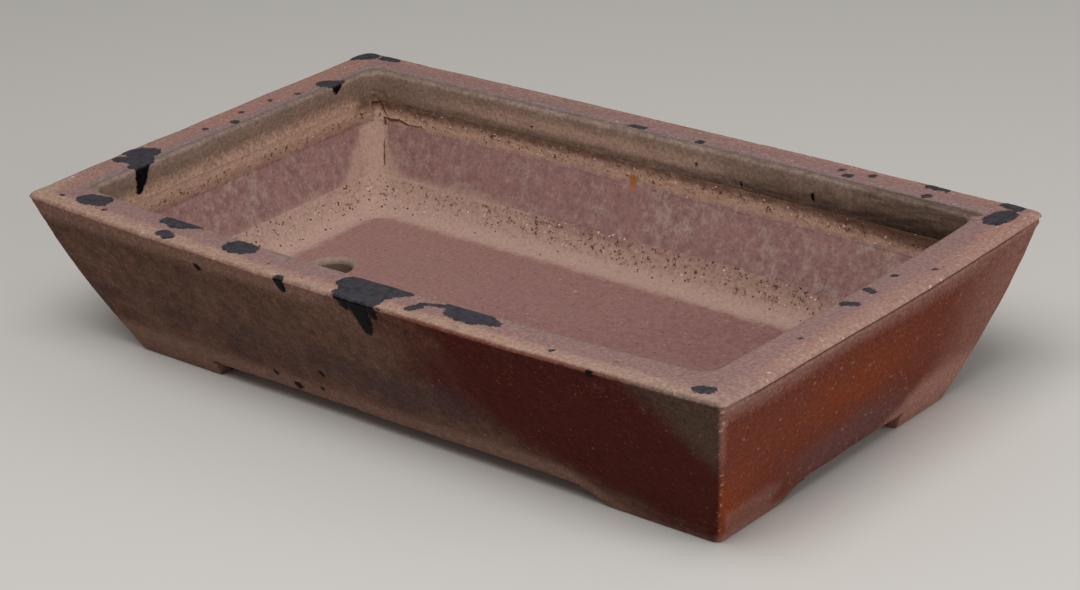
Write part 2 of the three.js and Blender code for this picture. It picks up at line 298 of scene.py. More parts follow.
def handwork_tree():
    """What hands, tools, wear and kiln did to a clean slab: soft lumps, ripples, chipped edges, pores, tar
    and grit. Places, not faces, steer it, so neighbours that touch stay together. Sizes are in metres."""
    tree = bpy.data.node_groups.new("handwork", "GeometryNodeTree")
    sizes = {"Lump Size": 0.07, "Lump Height": 0.0008, "Ripple Size": 0.014, "Ripple Height": 0.00025,
             "Chip Size": 0.006, "Chip Depth": 0.0007, "Pore Size": 0.005, "Pore Depth": 0.0009,
             "Drag Height": 0.0, "Crack Depth": 0.0007, "Tar Thickness": 0.0004, "Grain Density": 0.0,
             "Grain Size": 0.0011}
    tree.interface.new_socket("Geometry", in_out="INPUT", socket_type="NodeSocketGeometry")
    for name, size in sizes.items():
        tree.interface.new_socket(name, in_out="INPUT", socket_type="NodeSocketFloat").default_value = size
    tree.interface.new_socket("Seed", in_out="INPUT", socket_type="NodeSocketInt").default_value = 1
    tree.interface.new_socket("Clay", in_out="INPUT", socket_type="NodeSocketMaterial")
    tree.interface.new_socket("Grit", in_out="INPUT", socket_type="NodeSocketMaterial")
    tree.interface.new_socket("Geometry", in_out="OUTPUT", socket_type="NodeSocketGeometry")
    given = tree.nodes.new("NodeGroupInput").outputs
    place = add(tree, "GeometryNodeInputPosition")
    outward, lay = (add(tree, "GeometryNodeInputNamedAttribute", {"Name": name}, data_type="FLOAT_VECTOR")
                    for name in ("outward", "lay"))
    wear, gritty, tar, crack = (
        add(tree, "GeometryNodeInputNamedAttribute", {"Name": name}, data_type="FLOAT")
        for name in ("wear", "gritty", "tar", "crack"))

    # Lumps and ripples push a place any way, by up to their height.
    shifts = []
    for feature in ("Lump", "Ripple"):
        scale = add(tree, "ShaderNodeMath", {0: 1.0, 1: given[feature + " Size"]}, operation="DIVIDE")
        noise = add(tree, "ShaderNodeTexNoise", {"Vector": place, "Scale": scale, "Detail": 2.0}, output=1)
        centred = add(tree, "ShaderNodeVectorMath", {0: noise, 1: (0.5, 0.5, 0.5)}, operation="SUBTRACT")
        doubled = add(tree, "ShaderNodeMath", {0: given[feature + " Height"], 1: 2.0}, operation="MULTIPLY")
        shifts.append(add(tree, "ShaderNodeVectorMath", {0: centred, "Scale": doubled}, operation="SCALE"))

    # Chips sink worn edges, and pores sink gritty clay.
    hollows = []
    for feature, where, detail, roughness, low, high in (("Chip", wear, 3.0, 0.5, 0.56, 0.74),
                                                         ("Pore", gritty, 5.0, 0.8, 0.55, 0.66)):
        scale = add(tree, "ShaderNodeMath", {0: 1.0, 1: given[feature + " Size"]}, operation="DIVIDE")
        noise = add(tree, "ShaderNodeTexNoise",
                    {"Vector": place, "Scale": scale, "Detail": detail, "Roughness": roughness})
        hollow = add(tree, "ShaderNodeMapRange", {"Value": noise, "From Min": low, "From Max": high})
        share = add(tree, "ShaderNodeMath", {0: hollow, 1: where}, operation="MULTIPLY")
        hollows.append(add(tree, "ShaderNodeMath", {0: share, 1: given[feature + " Depth"]},
                           operation="MULTIPLY"))

    # A thumb dragged gritty clay lengthwise, drying cracked it, and tar stands on it.
    lengthwise = add(tree, "ShaderNodeVectorMath", {0: lay, 1: (1 / 10, 1 / 3.5, 1.0)}, operation="MULTIPLY")
    dragged = add(tree, "ShaderNodeTexNoise",
                  {"Vector": lengthwise, "Scale": 1.0, "Detail": 4.0, "Roughness": 0.65})
    drag_share = add(tree, "ShaderNodeMath", {0: dragged, 1: gritty}, operation="MULTIPLY")
    drag = add(tree, "ShaderNodeMath", {0: drag_share, 1: given["Drag Height"]}, operation="MULTIPLY")
    crack_share = add(tree, "ShaderNodeMapRange", {"Value": crack, "From Min": 0.9, "From Max": 0.2})
    cracked = add(tree, "ShaderNodeMath", {0: crack_share, 1: given["Crack Depth"], 2: drag},
                  operation="MULTIPLY_ADD")
    tar_share = add(tree, "ShaderNodeMapRange", {"Value": tar, "From Min": 0.6, "From Max": -1.0})
    thick = add(tree, "ShaderNodeMath", {0: tar_share, 1: given["Tar Thickness"]}, operation="MULTIPLY")

    sunk = add(tree, "ShaderNodeMath", {0: hollows[0], 1: hollows[1]}, operation="ADD")
    sunk = add(tree, "ShaderNodeMath", {0: sunk, 1: cracked}, operation="ADD")
    raised = add(tree, "ShaderNodeMath", {0: thick, 1: sunk}, operation="SUBTRACT")
    shifts.append(add(tree, "ShaderNodeVectorMath", {0: outward, "Scale": raised}, operation="SCALE"))
    shift = add(tree, "ShaderNodeVectorMath", {0: shifts[0], 1: shifts[1]}, operation="ADD")
    shift = add(tree, "ShaderNodeVectorMath", {0: shift, 1: shifts[2]}, operation="ADD")
    height = add(tree, "ShaderNodeSeparateXYZ", {0: place}, output=2)
    off_ground = add(tree, "ShaderNodeMapRange", {"Value": height, "From Min": 0.0002, "From Max": 0.005})
    shift = add(tree, "ShaderNodeVectorMath", {0: shift, "Scale": off_ground}, operation="SCALE")
    worked = add(tree, "GeometryNodeSetPosition", {"Geometry": given["Geometry"], "Offset": shift})
    clay = add(tree, "GeometryNodeSetMaterial", {"Geometry": worked, "Material": given["Clay"]})

    # Grains of grit stand out of gritty clay, each squashed and turned its own way.
    density = add(tree, "ShaderNodeMath", {0: gritty, 1: given["Grain Density"]}, operation="MULTIPLY")
    scattered = add(tree, "GeometryNodeDistributePointsOnFaces",
                    {"Mesh": worked, "Density": density, "Seed": given["Seed"]})
    grain = add(tree, "GeometryNodeMeshIcoSphere", {"Radius": 1.0, "Subdivisions": 1})
    least, most = (add(tree, "ShaderNodeMath", {0: given["Grain Size"], 1: share}, operation="MULTIPLY")
                   for share in (0.25, 0.8))
    squash = add(tree, "FunctionNodeRandomValue",
                 {0: (0.5, 0.5, 0.5), 1: (1.0, 1.0, 1.0), "Seed": given["Seed"]}, data_type="FLOAT_VECTOR")
    bigness = add(tree, "FunctionNodeRandomValue", {2: least, 3: most, "Seed": given["Seed"]}, output=1)
    scale = add(tree, "ShaderNodeVectorMath", {0: squash, "Scale": bigness}, operation="SCALE")
    tumble = add(tree, "FunctionNodeRandomValue", {1: (6.28, 6.28, 6.28), "Seed": given["Seed"]},
                 data_type="FLOAT_VECTOR")
    grains = add(tree, "GeometryNodeInstanceOnPoints",
                 {"Points": scattered, "Instance": grain, "Rotation": tumble, "Scale": scale})
    real = add(tree, "GeometryNodeRealizeInstances", {"Geometry": grains})
    grit = add(tree, "GeometryNodeSetMaterial", {"Geometry": real, "Material": given["Grit"]})
    joined = tree.nodes.new("GeometryNodeJoinGeometry")
    tree.links.new(grit, joined.inputs[0])
    tree.links.new(clay, joined.inputs[0])
    tree.links.new(joined.outputs[0], tree.nodes.new("NodeGroupOutput").inputs[0])
    return tree


handwork = handwork_tree()


def work_by_hand(mesh, node, slot, clay, grit=None, **sizes):
    """Runs the handwork over a clean mesh and sets the result in the pot in place of its CAD node."""
    rough = show(mesh)
    modifier = rough.modifiers.new("handwork", "NODES")
    modifier.node_group = handwork
    sockets = {s.name: s.identifier for s in handwork.interface.items_tree if s.in_out == "INPUT"}
    modifier[sockets["Clay"]] = clay
    modifier[sockets["Grit"]] = grit or clay
    for name, size in sizes.items():
        modifier[sockets[name.replace("_", " ").title()]] = size
    rough.update_tag()
    graph = bpy.context.evaluated_depsgraph_get()
    finished = bpy.data.meshes.new_from_object(rough.evaluated_get(graph), preserve_all_data_layers=True,
                                               depsgraph=graph)
    finished.name = node + "_clay"
    piece = show(finished)
    bpy.data.objects.remove(rough)
    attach(piece, "root")
    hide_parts(node)


# How every finish is built up: one colour laid over another along a ragged edge, the same colour deepened or
# paled in its grain, noises drawn out along a stroke, and round specks. The real clay's grain and lint are
# finer than a millimetre. They are drawn at one to three, because at this size they wouldn't show.
def stain(tree, under, over, field, noise, ragged, soft, most=1.0):
    """Lays one colour over another where a field passes a half, along an edge that a noise makes ragged.
    The field is a node's output, a number, or the name of one of the mesh's attributes."""
    if isinstance(field, str):
        field = add(tree, "ShaderNodeAttribute", output="Fac", attribute_name=field)
    pushed = add(tree, "ShaderNodeMath", {0: noise, 1: ragged, 2: field}, operation="MULTIPLY_ADD")
    edge = 0.5 + 0.5 * ragged
    share = add(tree, "ShaderNodeMapRange",
                {"Value": pushed, "From Min": edge - soft, "From Max": edge + soft, "To Max": most},
                interpolation_type="SMOOTHSTEP")
    return add(tree, "ShaderNodeMix", {0: share, 6: under, 7: over}, output=2, data_type="RGBA")


def coats(tree, under, rows):
    """Lays one stain after another over a colour, each row saying what stain takes after under."""
    for row in rows:
        under = stain(tree, under, *row)
    return under


def tinge(tree, under, tint, field, noise, ragged, soft, most):
    """Stains a colour with itself times a tint, so that it deepens or pales without a new hue."""
    tinged = add(tree, "ShaderNodeMix", {0: 1.0, 6: under, 7: tint + (1.0,)}, output=2, data_type="RGBA",
                 blend_type="MULTIPLY")
    return stain(tree, under, tinged, field, noise, ragged, soft, most)


def drawn_out(tree, place, lengths, detail, roughness):
    """A noise drawn out to so many millimetres each way."""
    shortened = add(tree, "ShaderNodeVectorMath", {0: place, 1: [1 / length for length in lengths]},
                    operation="MULTIPLY")
    return add(tree, "ShaderNodeTexNoise",
               {"Vector": shortened, "Scale": 1.0, "Detail": detail, "Roughness": roughness})


def speckle(tree, place, under, rows, noise, ragged, soft, where=None):
    """Lays rows of round specks: cells so many millimetres apart, of which a share holds a speck up to so
    large a radius, in a colour of so much strength, all of them or only where a field says."""
    for spacing, radius, share, over, most in rows:
        near = add(tree, "ShaderNodeTexVoronoi", {"Vector": place, "Scale": 1 / spacing})
        draw = add(tree, "ShaderNodeSeparateColor", {0: near.node.outputs["Color"]})
        size = add(tree, "ShaderNodeMapRange", {"Value": draw, "From Min": 1 - share, "From Max": 1.0,
                                                "To Min": -0.1, "To Max": radius / spacing})
        inside = add(tree, "ShaderNodeMath", {0: size, 1: near}, operation="SUBTRACT")
        dots = add(tree, "ShaderNodeMapRange",
                   {"Value": inside, "From Min": 0.0, "From Max": 0.3 * radius / spacing})
        if where is not None:
            dots = add(tree, "ShaderNodeMath", {0: dots, 1: where}, operation="MULTIPLY")
        under = stain(tree, under, over, dots, noise, ragged, soft, most)
    return under


def start_clay(name):
    """Begins a stoneware finish. Gives it, its tree and a point's place on the pot in millimetres."""
    material = new_material(name)
    tree = material.node_tree
    pot = add(tree, "ShaderNodeTexCoord", output="Object")
    place = add(tree, "ShaderNodeVectorMath", {0: pot, "Scale": 1 / MM}, operation="SCALE")
    return material, tree, place


def finish_clay(tree, skin, height, roughness, relief, tar=None):
    """Ends a stoneware tree: grain over the given height, so many millimetres deep, dry and almost without
    sheen, but glossier under tar."""
    bump = add(tree, "ShaderNodeBump", {"Strength": 0.8, "Distance": relief * MM, "Height": height})
    dry, sheen = roughness, 0.05
    if tar is not None:
        dry = add(tree, "ShaderNodeMapRange", {"Value": tar, "To Min": roughness, "To Max": 0.5})
        sheen = add(tree, "ShaderNodeMapRange", {"Value": tar, "To Min": 0.05, "To Max": 0.03})
    shader = add(tree, "ShaderNodeBsdfPrincipled",
                 {"Base Color": skin, "Roughness": dry, "Normal": bump, "Specular IOR Level": sheen})
    add(tree, "ShaderNodeOutputMaterial", {"Surface": shader})


OLIVE_CLAY, OLIVE_DARK = "#765749", "#5A4238"
OXBLOOD, BRICK, EMBER = "#4C1A15", "#7A3F31", "#98461F"
SMOKE_GREY, SMOKE_MAUVE = "#513C3D", "#745050"
ASH_GREY, ASH_PINK = "#55443B", "#9C7066"
WORN_TAN, WORN_PINK, PALE_FLECK = "#8F6E62", "#BA8B7E", "#C79C8A"
ORANGE_SPECK = "#A6603F"
SKIN_SPECKS = ((2.8, 1.0, 0.4, "#96723C", 0.6), (2.3, 1.0, 0.5, ORANGE_SPECK, 0.6),
               (3.6, 1.2, 0.35, "#A88878", 0.6))
SKIN_SHADE, SKIN_LIGHT = (0.62, 0.6, 0.6), (1.6, 1.55, 1.5)
# The tar's grey is a painted sheen on its upward faces.
TAR_BLACK, TAR_SHEEN_GREY = "#0E0C0E", "#48454B"


def fired_outside(tree, place):
    """The kiln's skin: olive clay flushed oxblood at the front and brick at the right, smoked, ashed and
    worn pale along its edges, with fine ochre and orange specks. Gives a colour and a height."""
    facing = add(tree, "ShaderNodeAttribute", output="Vector", attribute_name="facing")
    to_right = add(tree, "ShaderNodeSeparateXYZ", {0: facing})
    to_back = to_right.node.outputs[1]
    turned_away = add(tree, "ShaderNodeMath", {0: to_back, 1: 0.0}, operation="MAXIMUM")
    sideways = add(tree, "ShaderNodeMath", {0: to_right, 1: turned_away}, operation="MAXIMUM")
    round_corner = add(tree, "ShaderNodeMapRange", {"Value": sideways, "From Min": 0.45, "From Max": 0.75})
    clouds, mottle, grain, fine = (
        add(tree, "ShaderNodeTexNoise",
            {"Vector": place, "Scale": 1 / size, "Detail": detail, "Roughness": rough})
        for size, detail, rough in ((32, 5.0, 0.6), (7, 4.0, 0.65), (1.5, 3.0, 0.7), (3.0, 3.0, 0.5)))
    lay = add(tree, "ShaderNodeAttribute", output="Vector", attribute_name="lay")
    wiped = drawn_out(tree, lay, (6, 3, 1), 3.0, 0.6)
    wear = add(tree, "ShaderNodeAttribute", output="Fac", attribute_name="wear")
    brick = stain(tree, BRICK, EMBER, "hot", mottle, 1.6, 0.6, 0.9)
    flush, smoke, ash, worn = (
        add(tree, "ShaderNodeMix", {0: round_corner, 6: at_front, 7: past_corner}, output=2, data_type="RGBA")
        for at_front, past_corner in ((OXBLOOD, brick), (SMOKE_GREY, SMOKE_MAUVE), (ASH_GREY, ASH_PINK),
                                      (WORN_TAN, WORN_PINK)))
    skin = coats(tree, OLIVE_CLAY, (
        (OLIVE_DARK, mottle, clouds, 1.0, 0.35),
        (flush, "red", clouds, 0.6, 0.35, 0.97),
        (smoke, "smoke", clouds, 0.8, 0.45, 0.8),
        (ash, "ash", clouds, 0.5, 0.4, 0.85),
        (worn, "tan", mottle, 0.8, 0.35, 0.75)))
    darker = add(tree, "ShaderNodeMix", {0: 1.0, 6: skin, 7: SKIN_SHADE + (1.0,)}, output=2, data_type="RGBA",
                 blend_type="MULTIPLY")
    skin = coats(tree, skin, ((darker, mottle, wiped, 0.8, 0.3, 0.6), (darker, 0.45, grain, 1.0, 0.1, 0.6)))
    skin = tinge(tree, skin, SKIN_LIGHT, 0.42, grain, -1.0, 0.08, 0.55)
    flecked = add(tree, "ShaderNodeMapRange", {"Value": round_corner, "To Min": 0.42, "To Max": 1.0})
    skin = speckle(tree, place, skin, SKIN_SPECKS, clouds, 0.6, 0.3, flecked)
    flaked = add(tree, "ShaderNodeMapRange", {"Value": fine, "From Min": 0.52, "From Max": 0.72})
    bare = add(tree, "ShaderNodeMath", {0: wear, 1: flaked}, operation="MULTIPLY")
    skin = stain(tree, skin, PALE_FLECK, bare, mottle, 0.4, 0.2, 0.75)
    height = add(tree, "ShaderNodeMath", {0: mottle, 1: 1.2, 2: grain}, operation="MULTIPLY_ADD")
    return skin, height


MAUVE_WALL, MAUVE_DARK = "#A07A76", "#896663"
LIME_PALE, LIME_DULL, LIME_WASHED, LIME_SMEAR = "#B8998A", "#A07E70", "#C2A396", "#BAA79A"
# The umber is both the dark grit in pits and cracks and the painted shade under the back rim.
OCHRE_COIL, OCHRE_LIT, UMBER_GRIT_AND_SHADE, RUST = "#C3A08B", "#CAA893", "#553729", "#A8672F"
LIME_SPECKS = ((3.4, 1.1, 0.35, "#B59C92", 0.5), (5.0, 1.8, 0.25, "#AE9690", 0.4),
               (3.0, 1.0, 0.3, "#6E4E4C", 0.5))
GRIT_SPECKS = ((2.6, 1.1, 0.4, "#7A4A38", 0.8), (4.0, 1.4, 0.3, ORANGE_SPECK, 0.6),
               (2.8, 1.1, 0.4, "#D8BCA8", 0.8))
INSIDE_SHADE = (0.7, 0.68, 0.66)


def limed_inside(tree, place):
    """The inside, soaked by years of soil and hard water: mauve clay with upright lime smears, a tan gritty
    band under the rim, darkened by painted shade just under the back rim's overhang, and a pale crust along
    the floor and corners. Gives a colour and a height."""
    x = add(tree, "ShaderNodeSeparateXYZ", {0: place})
    clouds, mottle, fine, pits = (
        add(tree, "ShaderNodeTexNoise",
            {"Vector": place, "Scale": 1 / size, "Detail": detail, "Roughness": rough})
        for size, detail, rough in ((26, 4.0, 0.6), (6, 4.0, 0.65), (2.2, 5.0, 0.75), (5, 5.0, 0.8)))
    runs = drawn_out(tree, place, (5, 5, 6), 5.0, 0.7)
    gritty, crack = (add(tree, "ShaderNodeAttribute", output="Fac", attribute_name=name)
                     for name in ("gritty", "crack"))
    smeared = add(tree, "ShaderNodeMapRange",
                  {"Value": clouds, "From Min": 0.3, "From Max": 0.75, "To Max": 0.6})
    inside = coats(tree, MAUVE_WALL, ((MAUVE_DARK, mottle, clouds, 1.0, 0.35),
                                      (LIME_SMEAR, smeared, runs, 2.2, 0.4, 0.65)))
    inside = speckle(tree, place, inside, LIME_SPECKS, mottle, 0.5, 0.3)
    at_left, to_left, washed, in_pit, in_crack = (
        add(tree, "ShaderNodeMapRange", {"Value": value, "From Min": low, "From Max": high})
        for value, low, high in ((x, -205.0, -224.0), (x, 220.0, -220.0), (x.node.outputs[2], 36.0, 24.0),
                                 (pits, 0.55, 0.63), (crack, 0.8, 0.1)))
    coil_clay, crust = (
        add(tree, "ShaderNodeMix", {0: share, 6: at_right, 7: further}, output=2, data_type="RGBA")
        for share, at_right, further in ((at_left, OCHRE_COIL, OCHRE_LIT), (to_left, LIME_DULL, LIME_PALE)))
    crust = stain(tree, crust, LIME_WASHED, washed, mottle, 0.8, 0.6, 0.7)
    pitted = add(tree, "ShaderNodeMath", {0: in_pit, 1: gritty}, operation="MULTIPLY")
    inside = coats(tree, inside, (
        (coil_clay, "ochre", mottle, 0.9, 0.3, 0.95),
        # painted shade just under the back rim's overhang
        (UMBER_GRIT_AND_SHADE, "dim", mottle, 0.9, 0.5, 0.85),
        (crust, "lime", mottle, 0.9, 0.4, 0.95),
        (UMBER_GRIT_AND_SHADE, pitted, fine, 0.8, 0.35, 0.9)))
    inside = speckle(tree, place, inside, GRIT_SPECKS, mottle, 0.3, 0.25, gritty)
    inside = tinge(tree, inside, INSIDE_SHADE, 0.45, fine, 1.0, 0.12, 0.7)
    inside = coats(tree, inside, ((RUST, "rust", mottle, 0.8, 0.3, 0.85),
                                  (UMBER_GRIT_AND_SHADE, in_crack, fine, 1.2, 0.3, 0.9)))
    height = add(tree, "ShaderNodeMath", {0: mottle, 1: 1.5, 2: fine}, operation="MULTIPLY_ADD")
    return inside, height


def tarred(tree, place, skin, height):
    """Dried tar over a finish: a blue-black crust that sits on the clay, half matte, its upward faces paled
    grey by a painted sheen. The attribute tar says how far off its edge is. Gives the colour, the height and
    how tarred a place is."""
    away = add(tree, "ShaderNodeAttribute", output="Fac", attribute_name="tar")
    crumb = add(tree, "ShaderNodeTexNoise",
                {"Vector": place, "Scale": 1 / 4, "Detail": 6.0, "Roughness": 0.85})
    broken = add(tree, "ShaderNodeMath", {0: crumb, 1: 9.0, 2: away}, operation="MULTIPLY_ADD")
    share = add(tree, "ShaderNodeMapRange", {"Value": broken, "From Min": 5.2, "From Max": 4.8})
    outward = add(tree, "ShaderNodeAttribute", output="Vector", attribute_name="outward")
    upward = add(tree, "ShaderNodeSeparateXYZ", {0: outward}, output=2)
    # Painted sheen: tar on faces turned upwards is paled to grey.
    painted_sheen = add(tree, "ShaderNodeMapRange",
                {"Value": upward, "From Min": 0.3, "From Max": 0.95, "To Max": 0.75})
    paint = stain(tree, TAR_BLACK, TAR_SHEEN_GREY, painted_sheen, crumb, 2.4, 0.5)
    skin = add(tree, "ShaderNodeMix", {0: share, 6: skin, 7: paint}, output=2, data_type="RGBA")
    height = add(tree, "ShaderNodeMath", {0: share, 1: 1.2, 2: height}, operation="MULTIPLY_ADD")
    return skin, height, share


# Wall finish: the kiln's skin outside and the limed clay inside, parted by the attribute inside.
wall_finish, tree, place = start_clay("fired_stoneware_wall")
outer_skin, outer_height = fired_outside(tree, place)
inner_skin, inner_height = limed_inside(tree, place)
is_inside = add(tree, "ShaderNodeAttribute", output="Fac", attribute_name="inside")
wall_skin = add(tree, "ShaderNodeMix", {0: is_inside, 6: outer_skin, 7: inner_skin}, output=2,
                data_type="RGBA")
wall_height = add(tree, "ShaderNodeMix", {"Factor": is_inside, "A": outer_height, "B": inner_height})
wall_skin, wall_height, wall_tar = tarred(tree, place, wall_skin, wall_height)
finish_clay(tree, wall_skin, wall_height, roughness=0.74, relief=0.5, tar=wall_tar)


def kiln_fields(points, facing):
    """Where the kiln flushed, smoked and ashed the outside, and where its foot is worn: each crosses a half
    at the patch's edge."""
    x, y, z = np.moveaxis(points, -1, 0)
    front, right = np.clip(-facing[..., 1], 0, 1), np.clip(facing[..., 0], 0, 1)
    back, left = np.clip(facing[..., 1], 0, 1), np.clip(-facing[..., 0], 0, 1)
    red_from = 38 + 105 * (np.clip(70 - z, 0, 60) / 52) ** 2.2
    red = front * (0.5 + (x - red_from) / 130) + right * 1.3 + back * (0.5 + (x + 40) / 150)
    hot = 0.9 * np.exp(-((y + 122) / 30) ** 2 - ((z - 22) / 30) ** 2)
    hot += 0.55 * np.exp(-((y + 20) / 60) ** 2 - ((z - 64) / 20) ** 2)
    low_band = np.exp(-((z - 43) / 15) ** 2) * (1 - rise(x, 40, 110))
    right_smoke = np.exp(-((z - 22) / 18) ** 2 - (y / 60) ** 2)
    front_smoke = 0.7 * low_band * (0.6 + 0.4 * rise(x, -160, -60)) - 0.2 * rise(x, 60, 130)
    smoke = front * front_smoke + right * right_smoke + back * (0.2 + 0.6 * rise(x, 120, 230)) + left * 0.2
    corner_ash = 0.5 + ((x - 197) * 1.1 + (z - 98)) / 40
    far_ash = 0.5 + (y - 82) / 95 + 0.35 * rise(y, 30, 80) * (1 - rise(z, 18, 40))
    near_foot = 0.6 * (1 - rise(z, 18, 32)) * (1 - rise(y, -70, -50))
    under_rim = 0.05 + 0.85 * rise(z, 83 - 4 * rise(y, 0, 60), 101)
    ash = front * corner_ash + right * np.maximum(far_ash, np.maximum(near_foot, under_rim))
    front_worn, right_worn = 22 - 20 * rise(x, 115, 165), 4 + 24 * rise(y, 10, 68)
    worn_top = front * front_worn + left * 18 + back * 14 + right * right_worn
    dusty_top = rise(z, 82, 99) * front * (1 - rise(x, -30, 10))
    tan = np.maximum(0.5 + (worn_top - z) / (13 + 9 * right), dusty_top)
    return {"red": red, "hot": hot, "smoke": smoke, "ash": ash, "tan": tan}


CRACKS_IN_CORNER = [
    [(-222, 92, 0), (-215, 89, 0.2), (-210, 86, 0)], [(-220, 88, 0), (-217, 82, 0.2), (-214, 77, 0)],
    [(-216, 74, 0), (-209, 73, 0.5), (-203, 74, 0.3), (-195, 72, 0.1), (-184, 73, 0)],
    [(-215, 73, 0.3), (-212, 58, 0.3), (-209, 46, 0.1)],
]
RUST_ON_BACK = [[(-18, 73, 3.0), (-18, 67, 1.6)]]
CRUST_ROUND = 18.0


def soil_fields(points, to_mitre):
    """Where the tan coil clay and the pale crust reach on the inside, where painted shade darkens the coil
    under the back rim, the drying cracks in the back left corner and a spot of rust: each field crosses a
    half at its edge."""
    x, y, z = np.moveaxis(points, -1, 0)
    to_shade = rise(x, 80, 200)
    # Painted shade on the coil and wall just under the back rim's overhang, darker towards the right end.
    dim = rise(z, 74 - 7 * to_shade, 82 + 2 * to_shade) * rise(y, 95, 110) * (0.75 + 0.45 * to_shade)
    crust_top = 36.5 + 5 * rise(-x, 40, 120) + 1.5 * np.sin(x / 31)
    crust_side = np.where(np.abs(x) > 210, 20, 13)
    below = np.maximum(crust_top + CRUST_ROUND - z, 0)
    aside = np.maximum(crust_side + CRUST_ROUND - to_mitre, 0)
    lime = 0.5 + (np.hypot(below, aside) - CRUST_ROUND) / 9 - np.maximum(z - 56, 0) / 9
    in_corner = (x < -150) & (y > 104)
    return {"ochre": 0.5 + (z - 71.5) / 7, "dim": dim, "lime": lime,
            "crack": np.where(in_corner, to_strokes(x, z, CRACKS_IN_CORNER), FAR_OFF),
            "rust": np.where(y > 60, 0.5 - to_strokes(x, z, RUST_ON_BACK) / 4, 0.0)}


# The wall's body: its outline, its worn lower edge between the feet, and the four slabs. Its inside has
# close levels only where it shows between the coils.
inside_levels = np.concatenate([[RIM_BOTTOM, 72], np.arange(71, 40, -FINE_STEP), [36, 24, FOOT_HEIGHT]])
outside_levels = np.linspace(FOOT_HEIGHT + BASE_EDGE, RIM_BOTTOM, 46)
edge_turn = np.linspace(0, math.pi / 2, 5)[:-1]
edge_levels = FOOT_HEIGHT + BASE_EDGE * (1 - np.cos(edge_turn))
outside_count = len(edge_turn) + len(outside_levels)
WALL_CORNER_STEPS = 5
WALL_GRIT = 0.12
WALL_WEAR = 3.0
FOOT_LEG_LONG, FOOT_LEG_SHORT = 67.0, 47.0
OGEE_LENGTH = 20.0
OGEE_TIP = 3.0
FOOT_ENDS = {"front": ("square", "ogee"), "right": ("ogee", "square"), "back": ("square", "square"),
             "left": ("square", "square")}


def wall_section(edge):
    """The wall slab's outline: its lower outer edge worn so far, the bellied outside, then the inside."""
    return np.concatenate([
        from_skin(edge * (1 - np.sin(edge_turn)), edge_levels, CORNER_RADIUS),
        from_skin(0, outside_levels, CORNER_RADIUS),
        from_skin(WALL_THICKNESS, inside_levels, 1.0),
    ])


def over_foot(side, along):
    """1 where a foot stands under the wall and 0 in the open stretch between the feet."""
    ground, leg = (BASE_LENGTH / 2, FOOT_LEG_LONG) if side in LONG_SIDES else (BASE_DEPTH / 2, FOOT_LEG_SHORT)
    cover = np.zeros(np.shape(along))
    for end, way in zip(FOOT_ENDS[side], (-1, 1)):
        tail, blend = (OGEE_LENGTH - OGEE_TIP, 6.0) if end == "ogee" else (0.0, 0.5)
        reach = ground - leg - tail
        cover = np.maximum(cover, rise(way * along, reach - blend, reach + 0.5))
    return cover


for side in SIDES:
    points, outward, _, _ = carry_along(side, wall_section(BASE_EDGE), FINE_STEP, WALL_CORNER_STEPS)
    sharp, sharp_outward, along, to_mitre = carry_along(side, wall_section(0.0), FINE_STEP, WALL_CORNER_STEPS)
    covered = over_foot(side, along)[..., None]
    points = points + (sharp - points) * covered
    outward = outward + (sharp_outward - outward) * covered
    outward[:, 0] += (outward[:, 1] - outward[:, 0]) * covered[:, 0]
    outward[:, outside_count - 1] = outward[:, outside_count - 2]
    outward[:, outside_count] = outward[:, outside_count + 1]
    levels = wall_section(0.0)[:, 2]
    inside = np.arange(len(levels)) >= outside_count
    facing = facing_of(outward)
    corner_wear = np.maximum(0, 1 - to_mitre / WALL_WEAR)
    base_wear = np.clip(1 - (levels - FOOT_HEIGHT) / WALL_WEAR, 0, 1) * (1 - covered[..., 0])
    tar = to_strokes(points[..., 0], points[..., 2], TAR_ON_FRONT) if side == "front" else FAR_OFF
    fields = {"outward": outward, "facing": facing, "lay": lay_on(side, along, POT_HEIGHT - levels),
              "inside": inside.astype(float), "gritty": WALL_GRIT * inside,
              "tar": np.where(inside, FAR_OFF, tar),
              "wear": np.where(inside, 0, np.maximum(corner_wear, base_wear))}
    fields |= kiln_fields(points, facing) | soil_fields(points, to_mitre)
    mesh = closed_body(side + "_wall_clean", points, fields)
    work_by_hand(mesh, side + "_wall", "wall_stoneware", wall_finish)


# The rim strips: four flat strips luted on top of the walls and wider than them, so that they overhang
# inwards. Their top is worn and streaked along its length, lime lines the inner edge, and the inner face
# was smoothed with a wet rag. On the short sides a groove was cut just under the outer edge.
RIM_WIDTH_LONG, RIM_WIDTH_SHORT = 26.0, 28.0
RIM_EDGE, RIM_INNER_EDGE = 3.2, 2.0
RIM_COIL_WIDTH = 4.5
RIM_UNDERCUT = 5.0
RIM_INNER_RADIUS = 10.0
JOINT_RADIUS = 4.0
GROOVE_DEPTH, GROOVE_DROP, GROOVE_WIDTH = 0.7, 3.6, 0.8
BAND_SWELL, BAND_DROP, BAND_WIDTH = 0.35, 6.4, 1.2
LUTED_TOP = 90.5
LUTED_LEAN = 1.8
LUTED_PLAY = 0.2
TOP_STEPS = 18
RIM_STEP = 1.3
RIM_CORNER_STEPS = 6
RIM_TOP, RIM_TOP_DARK, RIM_MAUVE = "#AF8479", "#936B63", "#957773"
RIM_TAN, RIM_LIME = "#AF9180", "#8F7B7A"
INNER_OLIVE, INNER_UMBER, INNER_LIME = "#A88F84", "#8E7869", "#685D57"
